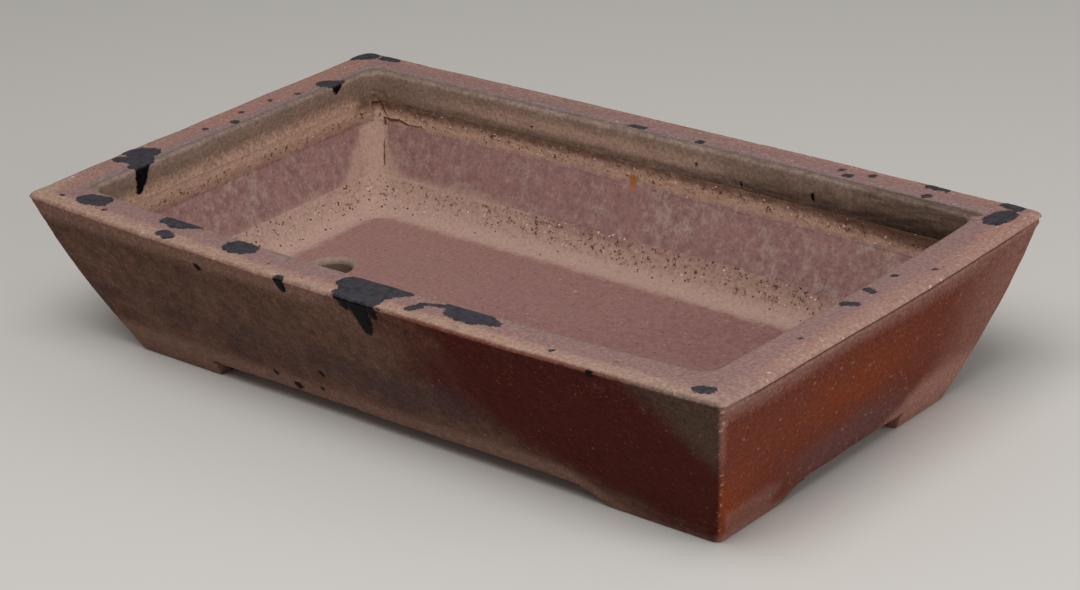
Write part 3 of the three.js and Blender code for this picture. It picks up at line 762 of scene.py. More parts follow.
# Painted shade and a painted highlight for the rim's inner face. The red along the front's outer edge is
# partly a painted highlight.
INNER_FACE_SHADE, INNER_HIGHLIGHT, EDGE_RED = "#2E211A", "#B79A89", "#6E3A2E"
RIM_SPECKS = ((3.4, 1.0, 0.3, "#6E4C44", 0.7), (2.9, 1.0, 0.35, "#C9A897", 0.6),
              (6.0, 1.4, 0.3, "#D6BCA6", 0.8), (4.4, 1.1, 0.25, ORANGE_SPECK, 0.5))
RIM_SHADE, RIM_LIGHT = (0.68, 0.66, 0.64), (1.3, 1.28, 1.26)


def from_rim(share, offset, z, rounding):
    """A corner of the ring at a height, plumb below the rim's outer edge and so far in from it."""
    share, offset, z, rounding = np.broadcast_arrays(share, offset, np.asarray(z, float), rounding)
    x = RIM_LENGTH / 2 - share * RIM_WIDTH_SHORT - offset
    y = RIM_DEPTH / 2 - share * RIM_WIDTH_LONG - offset
    return np.stack([x, y, z, rounding], -1)


def overhang_of(side):
    """How far the rim stands in past the wall on one side of the pot."""
    overhang = from_skin(WALL_THICKNESS, RIM_BOTTOM) - from_rim(1, 0, RIM_BOTTOM, 1)
    return overhang[0 if side in SHORT_SIDES else 1]


def luted_share(side, along):
    """1 where a coil was smeared up over the rim's inner face, at the left and in the back left corner.
    Along the back it swells up to the rim in places."""
    if side == "left":
        return np.ones(along.shape)
    if side != "back":
        return np.zeros(along.shape)
    waves = np.sin(along / 21 + 1) + np.sin(along / 8.3 + 2) + np.sin(along / 5.1)
    in_corner = 1 - rise(-along, 28 - RIM_LENGTH / 2, 52 - RIM_LENGTH / 2)
    return np.maximum(in_corner, 0.5 + 0.4 * rise(waves, -1.2, 2.0))


def rim_section(side, undercut_share):
    """The rim strip's outline, up the flared outside, over the top and down the plumb inner face, rounded in
    below to meet the coil. Gives it and how far round it each corner lies from the outer top edge, as
    measured down the mitre."""
    grooved = side in SHORT_SIDES
    tucked = (overhang_of(side) - RIM_COIL_WIDTH + LUTED_PLAY) * undercut_share
    band_bottom = POT_HEIGHT - BAND_DROP - 1.6
    outside = np.concatenate([np.linspace(RIM_BOTTOM, band_bottom, 10),
                              np.linspace(band_bottom, POT_HEIGHT - RIM_EDGE, 14)[1:]])
    below = POT_HEIGHT - outside
    groove = GROOVE_DEPTH * np.exp(-((below - GROOVE_DROP) / GROOVE_WIDTH) ** 2) * grooved
    swell = BAND_SWELL * np.exp(-((below - BAND_DROP + 0.8) / BAND_WIDTH) ** 2) * grooved
    quarter = np.linspace(0, math.pi / 2, 5)[1:]
    inwards = np.linspace(0, 1, TOP_STEPS + 1)[1:]
    undercut = np.linspace(0, math.pi / 2, 6)[1:]
    bottom = RIM_BOTTOM + RIM_UNDERCUT
    plumb = np.linspace(POT_HEIGHT - RIM_INNER_EDGE, bottom, 12)[1:]
    lean = LUTED_LEAN * (1 - undercut_share)
    outline = np.concatenate([
        from_skin(groove - swell, outside, CORNER_RADIUS),
        from_rim(0, RIM_EDGE * (1 - np.cos(quarter)), POT_HEIGHT - RIM_EDGE * (1 - np.sin(quarter)),
                 CORNER_RADIUS),
        from_rim(inwards, RIM_EDGE - (RIM_EDGE + RIM_INNER_EDGE) * inwards, POT_HEIGHT,
                 CORNER_RADIUS + (RIM_INNER_RADIUS - CORNER_RADIUS) * inwards),
        from_rim(1, -RIM_INNER_EDGE * (1 - np.sin(quarter)),
                 POT_HEIGHT - RIM_INNER_EDGE * (1 - np.cos(quarter)), RIM_INNER_RADIUS),
        from_rim(1, -lean * rise(-plumb, -POT_HEIGHT, -RIM_BOTTOM), plumb, RIM_INNER_RADIUS),
        from_rim(1, -lean - tucked * (1 - np.cos(undercut)), bottom - RIM_UNDERCUT * np.sin(undercut),
                 RIM_INNER_RADIUS),
        from_skin(WALL_THICKNESS, [RIM_BOTTOM], JOINT_RADIUS),
    ])
    gaps = np.linalg.norm(np.diff(outline[:, :3], axis=0), axis=1)
    across = np.concatenate([[0], np.cumsum(gaps)])
    return outline, across - across[len(outside) + 1]


# Rim finish: the kiln's skin below the outer edge, with a red line along the front's edge that is partly a
# painted highlight, then streaky pink clay with a tan outer and a limed inner edge, then the olive inner face
# with a painted highlight band and painted shade towards the coil, with tar over all of it.
rim_finish, tree, place = start_clay("worn_stoneware_rim")
outer_skin, _ = fired_outside(tree, place)
smeared_clay, _ = limed_inside(tree, place)
lay = add(tree, "ShaderNodeAttribute", output="Vector", attribute_name="lay")
streaks = drawn_out(tree, lay, (16, 3, 1), 4.0, 0.6)
clouds, mottle, fine, patches = (
    add(tree, "ShaderNodeTexNoise",
        {"Vector": place, "Scale": 1 / size, "Detail": detail, "Roughness": rough})
    for size, detail, rough in ((24, 4.0, 0.6), (5, 4.0, 0.65), (2.2, 5.0, 0.75), (55, 3.0, 0.5)))
across = add(tree, "ShaderNodeAttribute", output="Fac", attribute_name="across")
down, limed, past_edge, over_edge = (
    add(tree, "ShaderNodeMapRange", {"Value": across, "From Min": low, "From Max": high})
    for low, high in ((27.0, 45.0), (41.0, 29.0), (26.5, 31.5), (-5.0, 3.0)))
top = coats(tree, RIM_TOP, (
    (RIM_TOP_DARK, clouds, streaks, 0.8, 0.4, 0.8),
    (RIM_MAUVE, patches, mottle, 0.7, 0.3, 0.7),
    (RIM_TAN, "tanned", clouds, 1.8, 0.6, 0.85),
    (RIM_LIME, "crust", mottle, 1.2, 0.4, 0.8)))
top = speckle(tree, place, top, RIM_SPECKS, mottle, 0.6, 0.3)
face = coats(tree, INNER_OLIVE, (
    (INNER_UMBER, down, clouds, 1.8, 0.5, 0.9),
    (INNER_LIME, limed, mottle, 1.4, 0.5, 0.7),
    # painted highlight along a swelling of the face
    (INNER_HIGHLIGHT, "rubbed_pale", streaks, 0.9, 0.5, 0.85),
    # painted shade towards the coil joint, darker towards the right end
    (INNER_FACE_SHADE, "soot", streaks, 1.0, 0.6, 0.9),
    (smeared_clay, "luted", mottle, 1.2, 0.6, 0.8)))
top = coats(tree, top, ((face, past_edge, mottle, 0.5, 0.4), (RIM_MAUVE, "soaked", mottle, 1.0, 0.5, 0.95)))
rim_skin = coats(tree, outer_skin, ((top, over_edge, mottle, 0.9, 0.5),
                                    # a red line in the groove, and along the front's outer edge partly a
                                    # painted highlight
                                    (EDGE_RED, "burnt", mottle, 0.6, 0.4, 0.85)))
rim_skin = tinge(tree, rim_skin, RIM_SHADE, 0.45, fine, 1.0, 0.12, 0.75)
rim_skin = tinge(tree, rim_skin, RIM_LIGHT, 0.43, fine, -1.0, 0.08, 0.8)
rim_height = add(tree, "ShaderNodeMath", {0: mottle, 1: 0.8, 2: fine}, operation="MULTIPLY_ADD")
rim_skin, rim_height, rim_tar = tarred(tree, place, rim_skin, rim_height)
finish_clay(tree, rim_skin, rim_height, roughness=0.76, relief=0.45, tar=rim_tar)


# How far round the rim's outline the tar's strokes count: from outside its edge to inside it for those on
# the top, and past these places for those on a face.
TOP_FROM, TOP_TO = -2.0, 35.0
OUTER_TO, INNER_LEFT_FROM, INNER_BACK_FROM = 1.5, 24.0, 30.0


def tar_on(side, points, across):
    """How far off the tar is on a rim strip: on its top, and where it ran down the faces."""
    x, y, z = np.moveaxis(points, -1, 0)
    tar = np.where((across > TOP_FROM) & (across < TOP_TO), to_strokes(x, y, TAR_ON_RIM), FAR_OFF)
    if side == "front":
        tar = np.where(across < OUTER_TO, np.minimum(tar, to_strokes(x, z, TAR_ON_FRONT)), tar)
    if side == "left":
        tar = np.where(across > INNER_LEFT_FROM, np.minimum(tar, to_strokes(y, z, TAR_ON_INNER_LEFT)), tar)
    if side == "back":
        tar = np.where(across > INNER_BACK_FROM, to_strokes(x, z, TAR_ON_INNER_BACK), tar)
    return tar


def rim_fields(side, points, section, across, to_mitre, luted):
    """Where each mark shows on a rim strip: tan and lime along the top, mauve where it soaked, a red line in
    the groove and along the front's outer edge, there partly a painted highlight, and painted shade, a
    painted highlight band and smeared clay on the inner face."""
    x, y, z = np.moveaxis(points, -1, 0)
    dusted = 0.45 * rise(x, 110, 240) * rise(-y, 60, 130)
    soaked = {"front": 1.1, "right": 1.1, "back": 0.75, "left": 0.0}[side]
    soaked = soaked * (rise(across, 3, 12) * (1 - rise(across, 20, 26)) if side == "back" else
                       rise(across, 9, 22) * (1 - rise(across, 31, 36)))
    # A red line in the short sides' groove. Along the front's outer edge it is partly the wall's red coming
    # round the edge and partly a painted highlight.
    if side in SHORT_SIDES:
        in_groove = np.exp(-((POT_HEIGHT - section[:, 2] - GROOVE_DROP) / 0.5) ** 2) * (across < 0)
        burnt = in_groove * rise(to_mitre, 8, 30)
    else:
        along_edge = np.exp(-((across + 0.8) / 1.2) ** 2) * rise(x, 28, 50) * (1 - rise(x, 185, 205))
        burnt = 0.9 * along_edge * (side == "front")
    tan_share = {"front": 1.0, "right": 0.45, "back": 0.2, "left": 0.1 + 0.9 * rise(-y, 90, 130)}[side]
    # Painted shade on the inner face: darkest next to the coil joint, and darker towards the right end.
    to_shade = rise(x, -20, 100)
    near_coil = 1 - rise(z, 85, 91 + 6 * to_shade)
    soot = near_coil * (0.4 + 0.1 * to_shade) + 0.25 * to_shade + 0.3 * rise(x, 110, 190)
    # A painted highlight along a swelling of the back's inner face.
    highlight_stretch = rise(x, -210, -120) * (1 - rise(x, 20, 90)) * rise(y, 60, 115)
    smeared_on = luted * (side == "left") + (1 - rise(x, -222, -198)) * (side == "back")
    return {"crust": 0.95 * rise(across, 18, 25) * (side in ("back", "left")) + dusted,
            "soaked": soaked, "burnt": burnt, "tanned": (1 - rise(across, 4, 22)) * tan_share,
            "soot": soot * rise(y, 60, 115), "rubbed_pale": np.exp(-((z - 92) / 5) ** 2) * highlight_stretch,
            "luted": smeared_on * (0.5 + (LUTED_TOP - z) / 7)}


# The top's marks lie a little closer in on the short sides, and its outer border wanders from side to side.
SHORT_TOP_PULL = 2.0
EDGE_SHIFT = {"front": -1.5, "right": 4.2, "back": 0.0, "left": 4.5}

for side in SIDES:
    section, across = rim_section(side, 1.0)
    points, outward, along, _ = carry_along(side, section, RIM_STEP, RIM_CORNER_STEPS)
    luted = luted_share(side, along)
    filled, across = rim_section(side, 0.0)
    filled_points, _, along, to_mitre = carry_along(side, filled, RIM_STEP, RIM_CORNER_STEPS)
    points = points + (filled_points - points) * luted[..., None]
    outward[:, 0] = outward[:, 1]
    facing = facing_of(outward)
    across = across - (SHORT_TOP_PULL if side in SHORT_SIDES else 0.0) * rise(across, 6, 20)
    across_field = across + EDGE_SHIFT[side] * (1 - rise(across, -1, 4))
    edge_wear = np.exp(-(across / 1.6) ** 2) + 0.12 * np.exp(-((across - 25) / 1.5) ** 2)
    corner_wear = np.maximum(0, 1 - to_mitre / 4) * (across < 1)
    fields = {"outward": outward, "facing": facing, "lay": lay_on(side, along, across_field),
              "across": across_field, "tar": tar_on(side, points, across), "gritty": 0.0,
              "wear": np.maximum(edge_wear, corner_wear)}
    fields |= kiln_fields(points, facing) | soil_fields(points, to_mitre)
    fields |= rim_fields(side, points, section, across, to_mitre, luted)
    mesh = closed_body("rim_" + side + "_clean", points, fields)
    work_by_hand(mesh, "rim_" + side, "rim_stoneware", rim_finish)


# The coils under the rim: rolls of gritty clay pressed into the angle between the wall and the rim's
# overhang with a thumb, so they are hollow-faced and feather out down the wall.
RIM_COIL_HEIGHT = 14.0
CORNER_COIL_RADIUS = 13.0
THUMBED_HOLLOW, SMEARED_HOLLOW = 2, 1.1
FEATHER = 0.1
COIL_STEP = 1.0
RIM_COIL_CORNER_STEPS = 12
RIM_COIL_POINTS = 17
QUARTZ, BRICK_GRAIN, DARK_GRAIN = "#D8C8B0", "#8E5A40", "#4E3A2C"

# Grit finish: crushed quartz and fired brick, so each grain is pale, brown or dark, and a little smoother
# than the clay round it.
grit_finish, tree, place = start_clay("quartz_and_brick_grit")
grain_near = add(tree, "ShaderNodeTexVoronoi", {"Vector": place, "Scale": 1 / 5})
grain_draw = add(tree, "ShaderNodeSeparateColor", {0: grain_near.node.outputs["Color"]})
grain_skin = coats(tree, QUARTZ, ((BRICK_GRAIN, grain_draw, grain_near, 0.2, 0.1),
                                  (DARK_GRAIN, grain_draw.node.outputs[1], grain_near, 0.2, 0.1)))
finish_clay(tree, grain_skin, grain_near, roughness=0.6, relief=0.2)

# Coil finish: the same limed clay as the wall's inside, opened and torn by the thumb, so it looks the driest.
coil_finish, tree, place = start_clay("gritty_limed_coil")
coil_skin, coil_height = limed_inside(tree, place)
finish_clay(tree, coil_skin, coil_height, roughness=0.86, relief=0.8)


def rim_coil_section(width, hollowing):
    """The rim coil's outline: up along the wall, then a hollow face from under the rim down to the wall."""
    down = np.linspace(0, 1, RIM_COIL_POINTS)
    depth = WALL_THICKNESS + FEATHER + (width - FEATHER) * (1 - down) ** hollowing
    behind = RIM_BOTTOM - RIM_COIL_HEIGHT * np.array([1, 0.5, 0])
    rounding = RIM_INNER_RADIUS + (CORNER_COIL_RADIUS - RIM_INNER_RADIUS) * down
    return np.concatenate([from_skin(depth, RIM_BOTTOM - RIM_COIL_HEIGHT * down, rounding),
                           from_skin(WALL_THICKNESS, behind, JOINT_RADIUS)])[::-1]


for side in SIDES:
    hollow = rim_coil_section(RIM_COIL_WIDTH, THUMBED_HOLLOW)
    full = rim_coil_section(overhang_of(side) + LUTED_PLAY - LUTED_LEAN,
                            SMEARED_HOLLOW if side in SHORT_SIDES else THUMBED_HOLLOW)
    points, outward, along, _ = carry_along(side, hollow, COIL_STEP, RIM_COIL_CORNER_STEPS)
    full_points, _, along, to_mitre = carry_along(side, full, COIL_STEP, RIM_COIL_CORNER_STEPS)
    luted = luted_share(side, along)
    points = points + (full_points - points) * luted[..., None]
    z = points[..., 2]
    fields = {"outward": outward, "lay": lay_on(side, along, z), "tar": FAR_OFF, "wear": 0.0,
              "gritty": rise(z, 70.5, 76) * (1 - rise(z, 77, 83) * luted)}
    fields |= soil_fields(points, to_mitre)
    mesh = closed_body("rim_coil_" + side + "_clean", points, fields)
    work_by_hand(mesh, "rim_coil_" + side, "coil_stoneware", coil_finish, grit_finish,
                 drag_height=0.0012, grain_density=50000.0)


# The coils along the floor: thicker rolls thumbed into a hollow cove between the floor and the walls. Grit
# and pores show in their upper half, and lime has made them the palest part of the inside.
FLOOR_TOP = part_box("floor_slab")[1].z / MM
FLOOR_COIL_HEIGHT = 17.0
FLOOR_COIL_WIDTH = 12.0
FLOOR_CORNER_RADIUS = 26.0
FLOOR_COIL_CORNER_STEPS = 20
COVE_POINTS = 26
COIL_BED = 0.6

cove = np.linspace(0, math.pi / 2, COVE_POINTS)
cove_rounding = np.linspace(FLOOR_CORNER_RADIUS, CORNER_COIL_RADIUS, COVE_POINTS)
floor_coil_depth = WALL_THICKNESS + FEATHER + (FLOOR_COIL_WIDTH - FEATHER) * (1 - np.sin(cove))
floor_coil_back = FLOOR_TOP + np.array([FLOOR_COIL_HEIGHT, FLOOR_COIL_HEIGHT / 2, -COIL_BED])
floor_coil_section = np.concatenate([
    from_skin(floor_coil_depth, FLOOR_TOP + FLOOR_COIL_HEIGHT * (1 - np.cos(cove)), cove_rounding),
    from_skin(WALL_THICKNESS, floor_coil_back, JOINT_RADIUS),
    from_skin(WALL_THICKNESS + FLOOR_COIL_WIDTH, [FLOOR_TOP - COIL_BED], FLOOR_CORNER_RADIUS),
])
for side in SIDES:
    points, outward, along, to_mitre = carry_along(side, floor_coil_section, COIL_STEP,
                                                   FLOOR_COIL_CORNER_STEPS)
    x, y, z = np.moveaxis(points, -1, 0)
    off_edges = rise(z, FLOOR_TOP, FLOOR_TOP + 1.5) * (1 - rise(z, 39.5, 42.5))
    crumbled = rise(z, 27.5, 31.5) * (0.55 + 0.45 * rise(x, -130, -60))
    fields = {"outward": outward, "lay": lay_on(side, along, z), "tar": FAR_OFF, "wear": 0.0,
              "gritty": off_edges * (0.32 + 0.68 * crumbled)}
    fields |= soil_fields(points, to_mitre)
    fields["lime"] += 0.2
    mesh = closed_body("floor_coil_" + side + "_clean", points, fields)
    work_by_hand(mesh, "floor_coil_" + side, "coil_stoneware", coil_finish, grit_finish,
                 drag_height=0.0024, pore_depth=0.0014, grain_density=60000.0, grain_size=0.0013)


# The coils in the upright corners: rolls thumbed in over the luted mitres, from the floor's coils up to
# the rim's, pale with lime on their face.
CORNERS = {"front_left": (-1, -1), "front_right": (1, -1), "back_right": (1, 1), "back_left": (-1, 1)}
FILLET_POINTS = 21

coil_levels = np.arange(FLOOR_TOP + FLOOR_COIL_HEIGHT, RIM_BOTTOM - RIM_COIL_HEIGHT + 0.5, COIL_STEP)[::-1]
fillet = np.linspace(0, math.pi / 2, FILLET_POINTS)
seat_x, seat_y, seat_z = from_skin(WALL_THICKNESS, coil_levels)[:, :3].T[..., None]
centre_x, centre_y = seat_x - CORNER_COIL_RADIUS, seat_y - CORNER_COIL_RADIUS
face_radius = CORNER_COIL_RADIUS - FEATHER
x = np.concatenate([centre_x + face_radius * np.sin(fillet), seat_x, seat_x, centre_x], 1)
y = np.concatenate([centre_y + face_radius * np.cos(fillet), centre_y, seat_y, seat_y], 1)
quarter = np.stack([x, y, np.broadcast_to(seat_z, x.shape)], -1)
inward = np.stack([-np.sin(fillet), -np.cos(fillet), np.zeros(FILLET_POINTS)], -1)
for name, (sign_x, sign_y) in CORNERS.items():
    points = quarter * [sign_x, sign_y, 1]
    outward = np.zeros(points.shape)
    outward[:, :FILLET_POINTS] = inward * [sign_x, sign_y, 1]
    if sign_x * sign_y < 0:
        points, outward = points[:, ::-1], outward[:, ::-1]
    to_mitre = np.abs(np.abs(points[..., 0]) - seat_x - (np.abs(points[..., 1]) - seat_y)) / 2
    fields = {"outward": outward, "lay": points[..., [2, 0, 1]], "tar": FAR_OFF, "wear": 0.0, "gritty": 0.3}
    fields |= soil_fields(points, to_mitre)
    mesh = closed_body("corner_coil_" + name + "_clean", points, fields)
    work_by_hand(mesh, "corner_coil_" + name, "coil_stoneware", coil_finish, grit_finish,
                 grain_density=9000.0)


# The floor slab: rolled out first, with two drain holes cut through it while wet, their lips worn round.
# It is dark reddish clay, brushed lengthwise, with a lime ring at each hole.
DRAIN_RADIUS = 12.5
DRAIN_PLACES = ((-162.0, 9.0), (162.0, 9.0))
DRAIN_BLOCK = 22.0
DRAIN_LIP = 3.0
BLOCK_STEPS = 22
CELLS_ALONG = (13, BLOCK_STEPS, 140, BLOCK_STEPS, 13)
CELLS_ACROSS = (41, BLOCK_STEPS, 33)
FLOOR_RED, FLOOR_DARK, FLOOR_STREAK = "#946968", "#7E5351", "#AC8880"
DRAIN_LIME, DRAIN_OLIVE = "#9C887D", "#6C584C"
FLOOR_SPECKS = ((3.0, 1.0, 0.35, "#BA9C92", 0.7), (3.2, 1.0, 0.35, "#5C3B38", 0.6),
                (14.0, 2.2, 0.3, "#C09A84", 0.7))
FLOOR_SHADE = (0.75, 0.72, 0.72)

# Floor finish: clay brushed while wet, so fine streaks run along it under pale specks and lime.
floor_finish, tree, place = start_clay("brushed_stoneware_floor")
streaks = drawn_out(tree, place, (8, 4, 6), 6.0, 0.75)
clouds, mottle, fine = (
    add(tree, "ShaderNodeTexNoise",
        {"Vector": place, "Scale": 1 / size, "Detail": detail, "Roughness": rough})
    for size, detail, rough in ((45, 4.0, 0.6), (5, 4.0, 0.65), (2.2, 5.0, 0.75)))
x = add(tree, "ShaderNodeSeparateXYZ", {0: place})
faded = add(tree, "ShaderNodeMapRange", {"Value": x, "From Min": 260.0, "From Max": -260.0})
crust = add(tree, "ShaderNodeMix", {0: faded, 6: LIME_PALE, 7: LIME_WASHED}, output=2, data_type="RGBA")
slab = coats(tree, FLOOR_RED, (
    (FLOOR_DARK, clouds, streaks, 1.4, 0.45),
    (FLOOR_STREAK, faded, streaks, 1.6, 0.6, 0.8),
    (FLOOR_STREAK, clouds, mottle, 1.5, 0.2, 0.4),
    (FLOOR_DARK, fine, streaks, 1.2, 0.3, 0.25)))
slab = speckle(tree, place, slab, FLOOR_SPECKS, mottle, 0.3, 0.25)
slab = coats(tree, slab, (
    (crust, "lime", mottle, 0.9, 0.4, 0.9),
    (DRAIN_LIME, "ring", mottle, 0.8, 0.25, 0.9),
    (DRAIN_OLIVE, "bore", mottle, 0.6, 0.25, 0.9)))
slab = tinge(tree, slab, FLOOR_SHADE, 0.45, fine, 1.0, 0.12, 0.75)
slab_height = add(tree, "ShaderNodeMath", {0: streaks, 1: 0.8, 2: fine}, operation="MULTIPLY_ADD")
finish_clay(tree, slab, slab_height, roughness=0.8, relief=0.5)


def grid_lines(breaks, counts):
    """Grid lines from break to break, so many in each stretch."""
    stretches = [np.linspace(a, b, count + 1)[:-1] for a, b, count in zip(breaks, breaks[1:], counts)]
    return np.concatenate(stretches + [breaks[-1:]])


def drain_rings(centre):
    """Rings of points from the square block round a drain hole down through its worn bore."""
    steps = np.linspace(-1, 1, BLOCK_STEPS + 1)[:-1]
    edge = np.stack([steps, -np.ones(BLOCK_STEPS)], -1)
    quarter_turn = np.array([[0, 1], [-1, 0]])
    square = np.concatenate([edge @ np.linalg.matrix_power(quarter_turn, turns) for turns in range(4)])
    circle = square / np.linalg.norm(square, axis=1, keepdims=True)
    lip_radius = DRAIN_RADIUS + DRAIN_LIP
    rings = [(square * DRAIN_BLOCK * (1 - t) + circle * lip_radius * t, FLOOR_TOP)
             for t in np.linspace(0, 1, 8)[:-1]]
    rings += [(circle * (lip_radius - DRAIN_LIP * math.sin(a)), FLOOR_TOP - DRAIN_LIP * (1 - math.cos(a)))
              for a in np.linspace(0, math.pi / 2, 7)]
    rings += [(circle * DRAIN_RADIUS, z) for z in np.linspace(FLOOR_TOP - DRAIN_LIP, FOOT_HEIGHT + 1, 8)[1:]]
    rings += [(circle * (DRAIN_RADIUS + 1), FOOT_HEIGHT), (square * DRAIN_BLOCK, FOOT_HEIGHT)]
    rings = [np.column_stack([flat, np.full(len(flat), z)]) for flat, z in rings]
    return np.array(rings) + [centre[0], centre[1], 0]


edge_x, edge_y = from_skin(WALL_THICKNESS, FLOOR_TOP)[:2]
breaks_x = [-edge_x] + [x + way * DRAIN_BLOCK for x, _ in DRAIN_PLACES for way in (-1, 1)] + [edge_x]
breaks_y = [-edge_y] + [DRAIN_PLACES[0][1] + way * DRAIN_BLOCK for way in (-1, 1)] + [edge_y]
grid_x, grid_y = np.meshgrid(grid_lines(breaks_x, CELLS_ALONG), grid_lines(breaks_y, CELLS_ACROSS),
                             indexing="ij")
middle_x, middle_y = (grid_x[:-1, :-1] + grid_x[1:, 1:]) / 2, (grid_y[:-1, :-1] + grid_y[1:, 1:]) / 2
kept = np.ones(middle_x.shape, bool)
for x, y in DRAIN_PLACES:
    kept &= np.maximum(np.abs(middle_x - x), np.abs(middle_y - y)) > DRAIN_BLOCK
at = np.arange(grid_x.size).reshape(grid_x.shape)
cells = np.stack([at[:-1, :-1], at[1:, :-1], at[1:, 1:], at[:-1, 1:]], -1)[kept]
border = np.concatenate([at[:-1, 0], at[-1, :-1], at[:0:-1, -1], at[0, :0:-1]])
below = border + grid_x.size
slab_faces = [cells, cells[:, ::-1] + grid_x.size,
              np.stack([border, below, np.roll(below, -1), np.roll(border, -1)], -1)]
slab_points = [np.column_stack([grid_x.ravel(), grid_y.ravel(), np.full(grid_x.size, z)])
               for z in (FLOOR_TOP, FOOT_HEIGHT)]
for centre in DRAIN_PLACES:
    rings = drain_rings(centre)
    start = sum(len(points) for points in slab_points)
    at = start + np.arange(rings[..., 0].size).reshape(rings.shape[:2])
    around_bore = np.stack([at[:-1], np.roll(at[:-1], -1, 1), np.roll(at[1:], -1, 1), at[1:]], -1)
    slab_faces.append(around_bore.reshape(-1, 4))
    slab_points.append(rings.reshape(-1, 3))
slab_points, slab_faces = np.concatenate(slab_points), np.concatenate(slab_faces)
rough_slab = bpy.data.meshes.new("floor_slab_clean")
rough_slab.from_pydata((slab_points * MM).tolist(), [], slab_faces.tolist())
rough_slab.polygons.foreach_set("use_smooth", np.ones(len(slab_faces), bool))
x, y, z = slab_points.T
from_drain = np.min([np.hypot(x - at_x, y - at_y) for at_x, at_y in DRAIN_PLACES], axis=0) - DRAIN_RADIUS
to_edge = np.minimum(edge_x - np.abs(x), edge_y - np.abs(y))
write_fields(rough_slab, x.shape, {
    "lime": np.where(z > FLOOR_TOP - 1, 0.5 + (15.5 - to_edge) / 10, 0),
    "ring": np.where(z > FLOOR_TOP - 5, 0.5 + (3.0 - from_drain) / 4, 0.2),
    "bore": np.where(z < FLOOR_TOP - 3, 1.0, 0.0) * (from_drain < 2),
    "gritty": 0.0, "wear": 0.0, "tar": FAR_OFF, "crack": FAR_OFF,
})
work_by_hand(rough_slab, "floor_slab", "floor_stoneware", floor_finish, ripple_height=0.0002)


# The feet: angles of the wall's own clay under the four corners. The front right one has ogee ends, and
# the others were cut off square, a little slanted.
FOOT_THICKNESS = 16.0
SQUARE_SLANT = 3.0
FOOT_EDGE = 1.6
UP_STEPS, OVER_STEPS, DOWN_STEPS = 6, 8, 5
OGEE_STEPS = 20
OGEE_LIP = 0.4

# Foot finish: the kiln's skin again, dry, and rubbed pale where the pot was pushed along its shelf.
foot_finish, tree, place = start_clay("worn_stoneware_foot")
foot_skin, foot_height = fired_outside(tree, place)
finish_clay(tree, foot_skin, foot_height, roughness=0.78, relief=0.6)


def foot_outline(lift):
    """The foot's section at one station, worn round below: depths and levels up the outside, over the top,
    down the inside and back along the underside."""
    turn = np.linspace(0, math.pi / 2, 5)[1:]
    edge = min(FOOT_EDGE, 0.4 * (FOOT_HEIGHT - lift))
    depth = np.concatenate([[0] * (UP_STEPS + 1), np.linspace(0, FOOT_THICKNESS, OVER_STEPS + 1)[1:],
                            [FOOT_THICKNESS] * DOWN_STEPS, FOOT_THICKNESS - edge * (1 - np.cos(turn)),
                            np.linspace(FOOT_THICKNESS - edge, edge, OVER_STEPS + 1)[1:],
                            edge * (1 - np.sin(turn))])
    z = np.concatenate([np.linspace(lift + edge, FOOT_HEIGHT, UP_STEPS + 1), [FOOT_HEIGHT] * OVER_STEPS,
                        np.linspace(FOOT_HEIGHT, lift + edge, DOWN_STEPS + 1)[1:],
                        lift + edge * (1 - np.sin(turn)), [lift] * OVER_STEPS,
                        lift + edge * (1 - np.cos(turn))])
    return depth[:-1], z[:-1]


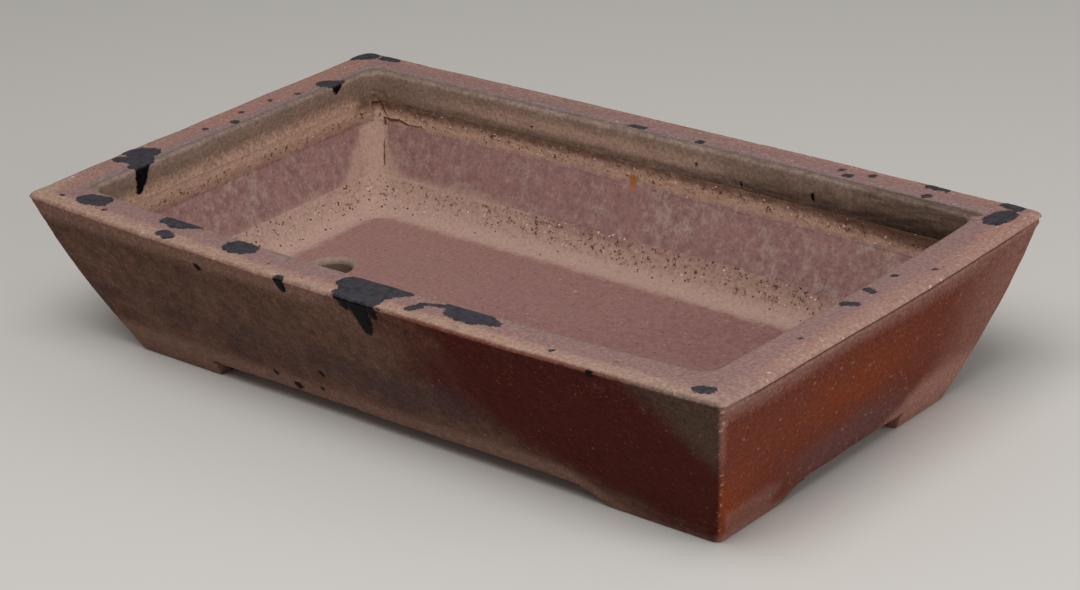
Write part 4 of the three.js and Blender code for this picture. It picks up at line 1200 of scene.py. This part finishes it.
def leg_stations(ground, leg, end):
    """A foot's stations along one leg, from its end to the corner: place, lift of the underside, slant."""
    tail = np.linspace(OGEE_LENGTH, 0, OGEE_STEPS + 1)[:-1] if end == "ogee" else []
    stations = [(ground - leg - d, (FOOT_HEIGHT - OGEE_LIP) * rise(d, 0, OGEE_LENGTH), 0.0) for d in tail]
    body = np.linspace(ground - leg, ground - CORNER_RADIUS, round(leg / 1.5))
    slants = [SQUARE_SLANT if end == "square" else 0.0] + [0.0] * (len(body) - 1)
    return stations + [(along, 0.0, slant) for along, slant in zip(body, slants)]


def foot_points(end):
    """Rings of a foot in the quarter where x and y are positive, from its long leg's end round the corner,
    and the way that each faces."""
    rings, facings = [], []
    for along, lift, slant in leg_stations(BASE_LENGTH / 2, FOOT_LEG_LONG, end):
        depth, z = foot_outline(lift)
        rings.append(np.column_stack([along - slant * z / FOOT_HEIGHT, from_skin(depth, z)[:, 1], z]))
        facings.append((0.0, 1.0, 0.0))
    depth, z = foot_outline(0.0)
    skin = from_skin(depth, z)
    keep = np.maximum(CORNER_RADIUS - depth, 0)
    cut = CORNER_RADIUS - keep
    for angle in np.linspace(math.pi / 2, 0, 9)[1:-1]:
        share = 1 - angle / (math.pi / 2)
        x = skin[:, 0] - keep * (1 - math.cos(angle)) - cut * (1 - share)
        y = skin[:, 1] - keep * (1 - math.sin(angle)) - cut * share
        rings.append(np.column_stack([x, y, z]))
        facings.append((math.cos(angle), math.sin(angle), 0.0))
    for along, lift, slant in leg_stations(BASE_DEPTH / 2, FOOT_LEG_SHORT, end)[::-1]:
        depth, z = foot_outline(lift)
        rings.append(np.column_stack([from_skin(depth, z)[:, 0], along - slant * z / FOOT_HEIGHT, z]))
        facings.append((1.0, 0.0, 0.0))
    return np.array(rings), np.array(facings)


for name, signs in CORNERS.items():
    points, facings = foot_points("ogee" if name == "front_right" else "square")
    points = points * [*signs, 1]
    facing = np.broadcast_to((facings * [*signs, 1])[:, None], points.shape)
    if signs[0] * signs[1] > 0:
        points, facing = points[::-1], facing[::-1]
    x, y, z = np.moveaxis(points, -1, 0)
    along = np.where(np.abs(facing[..., 0]) > 0.7, y, x)
    fields = {"outward": facing, "facing": facing, "lay": np.stack([along, z, along * 0], -1), "tar": FAR_OFF,
              "crack": FAR_OFF, "gritty": 0.0, "wear": np.clip(1 - z / 2.5, 0, 1)}
    fields |= kiln_fields(points, facing)
    mesh = closed_body("foot_" + name + "_clean", points, fields)
    work_by_hand(mesh, "foot_" + name, "foot_stoneware", foot_finish)
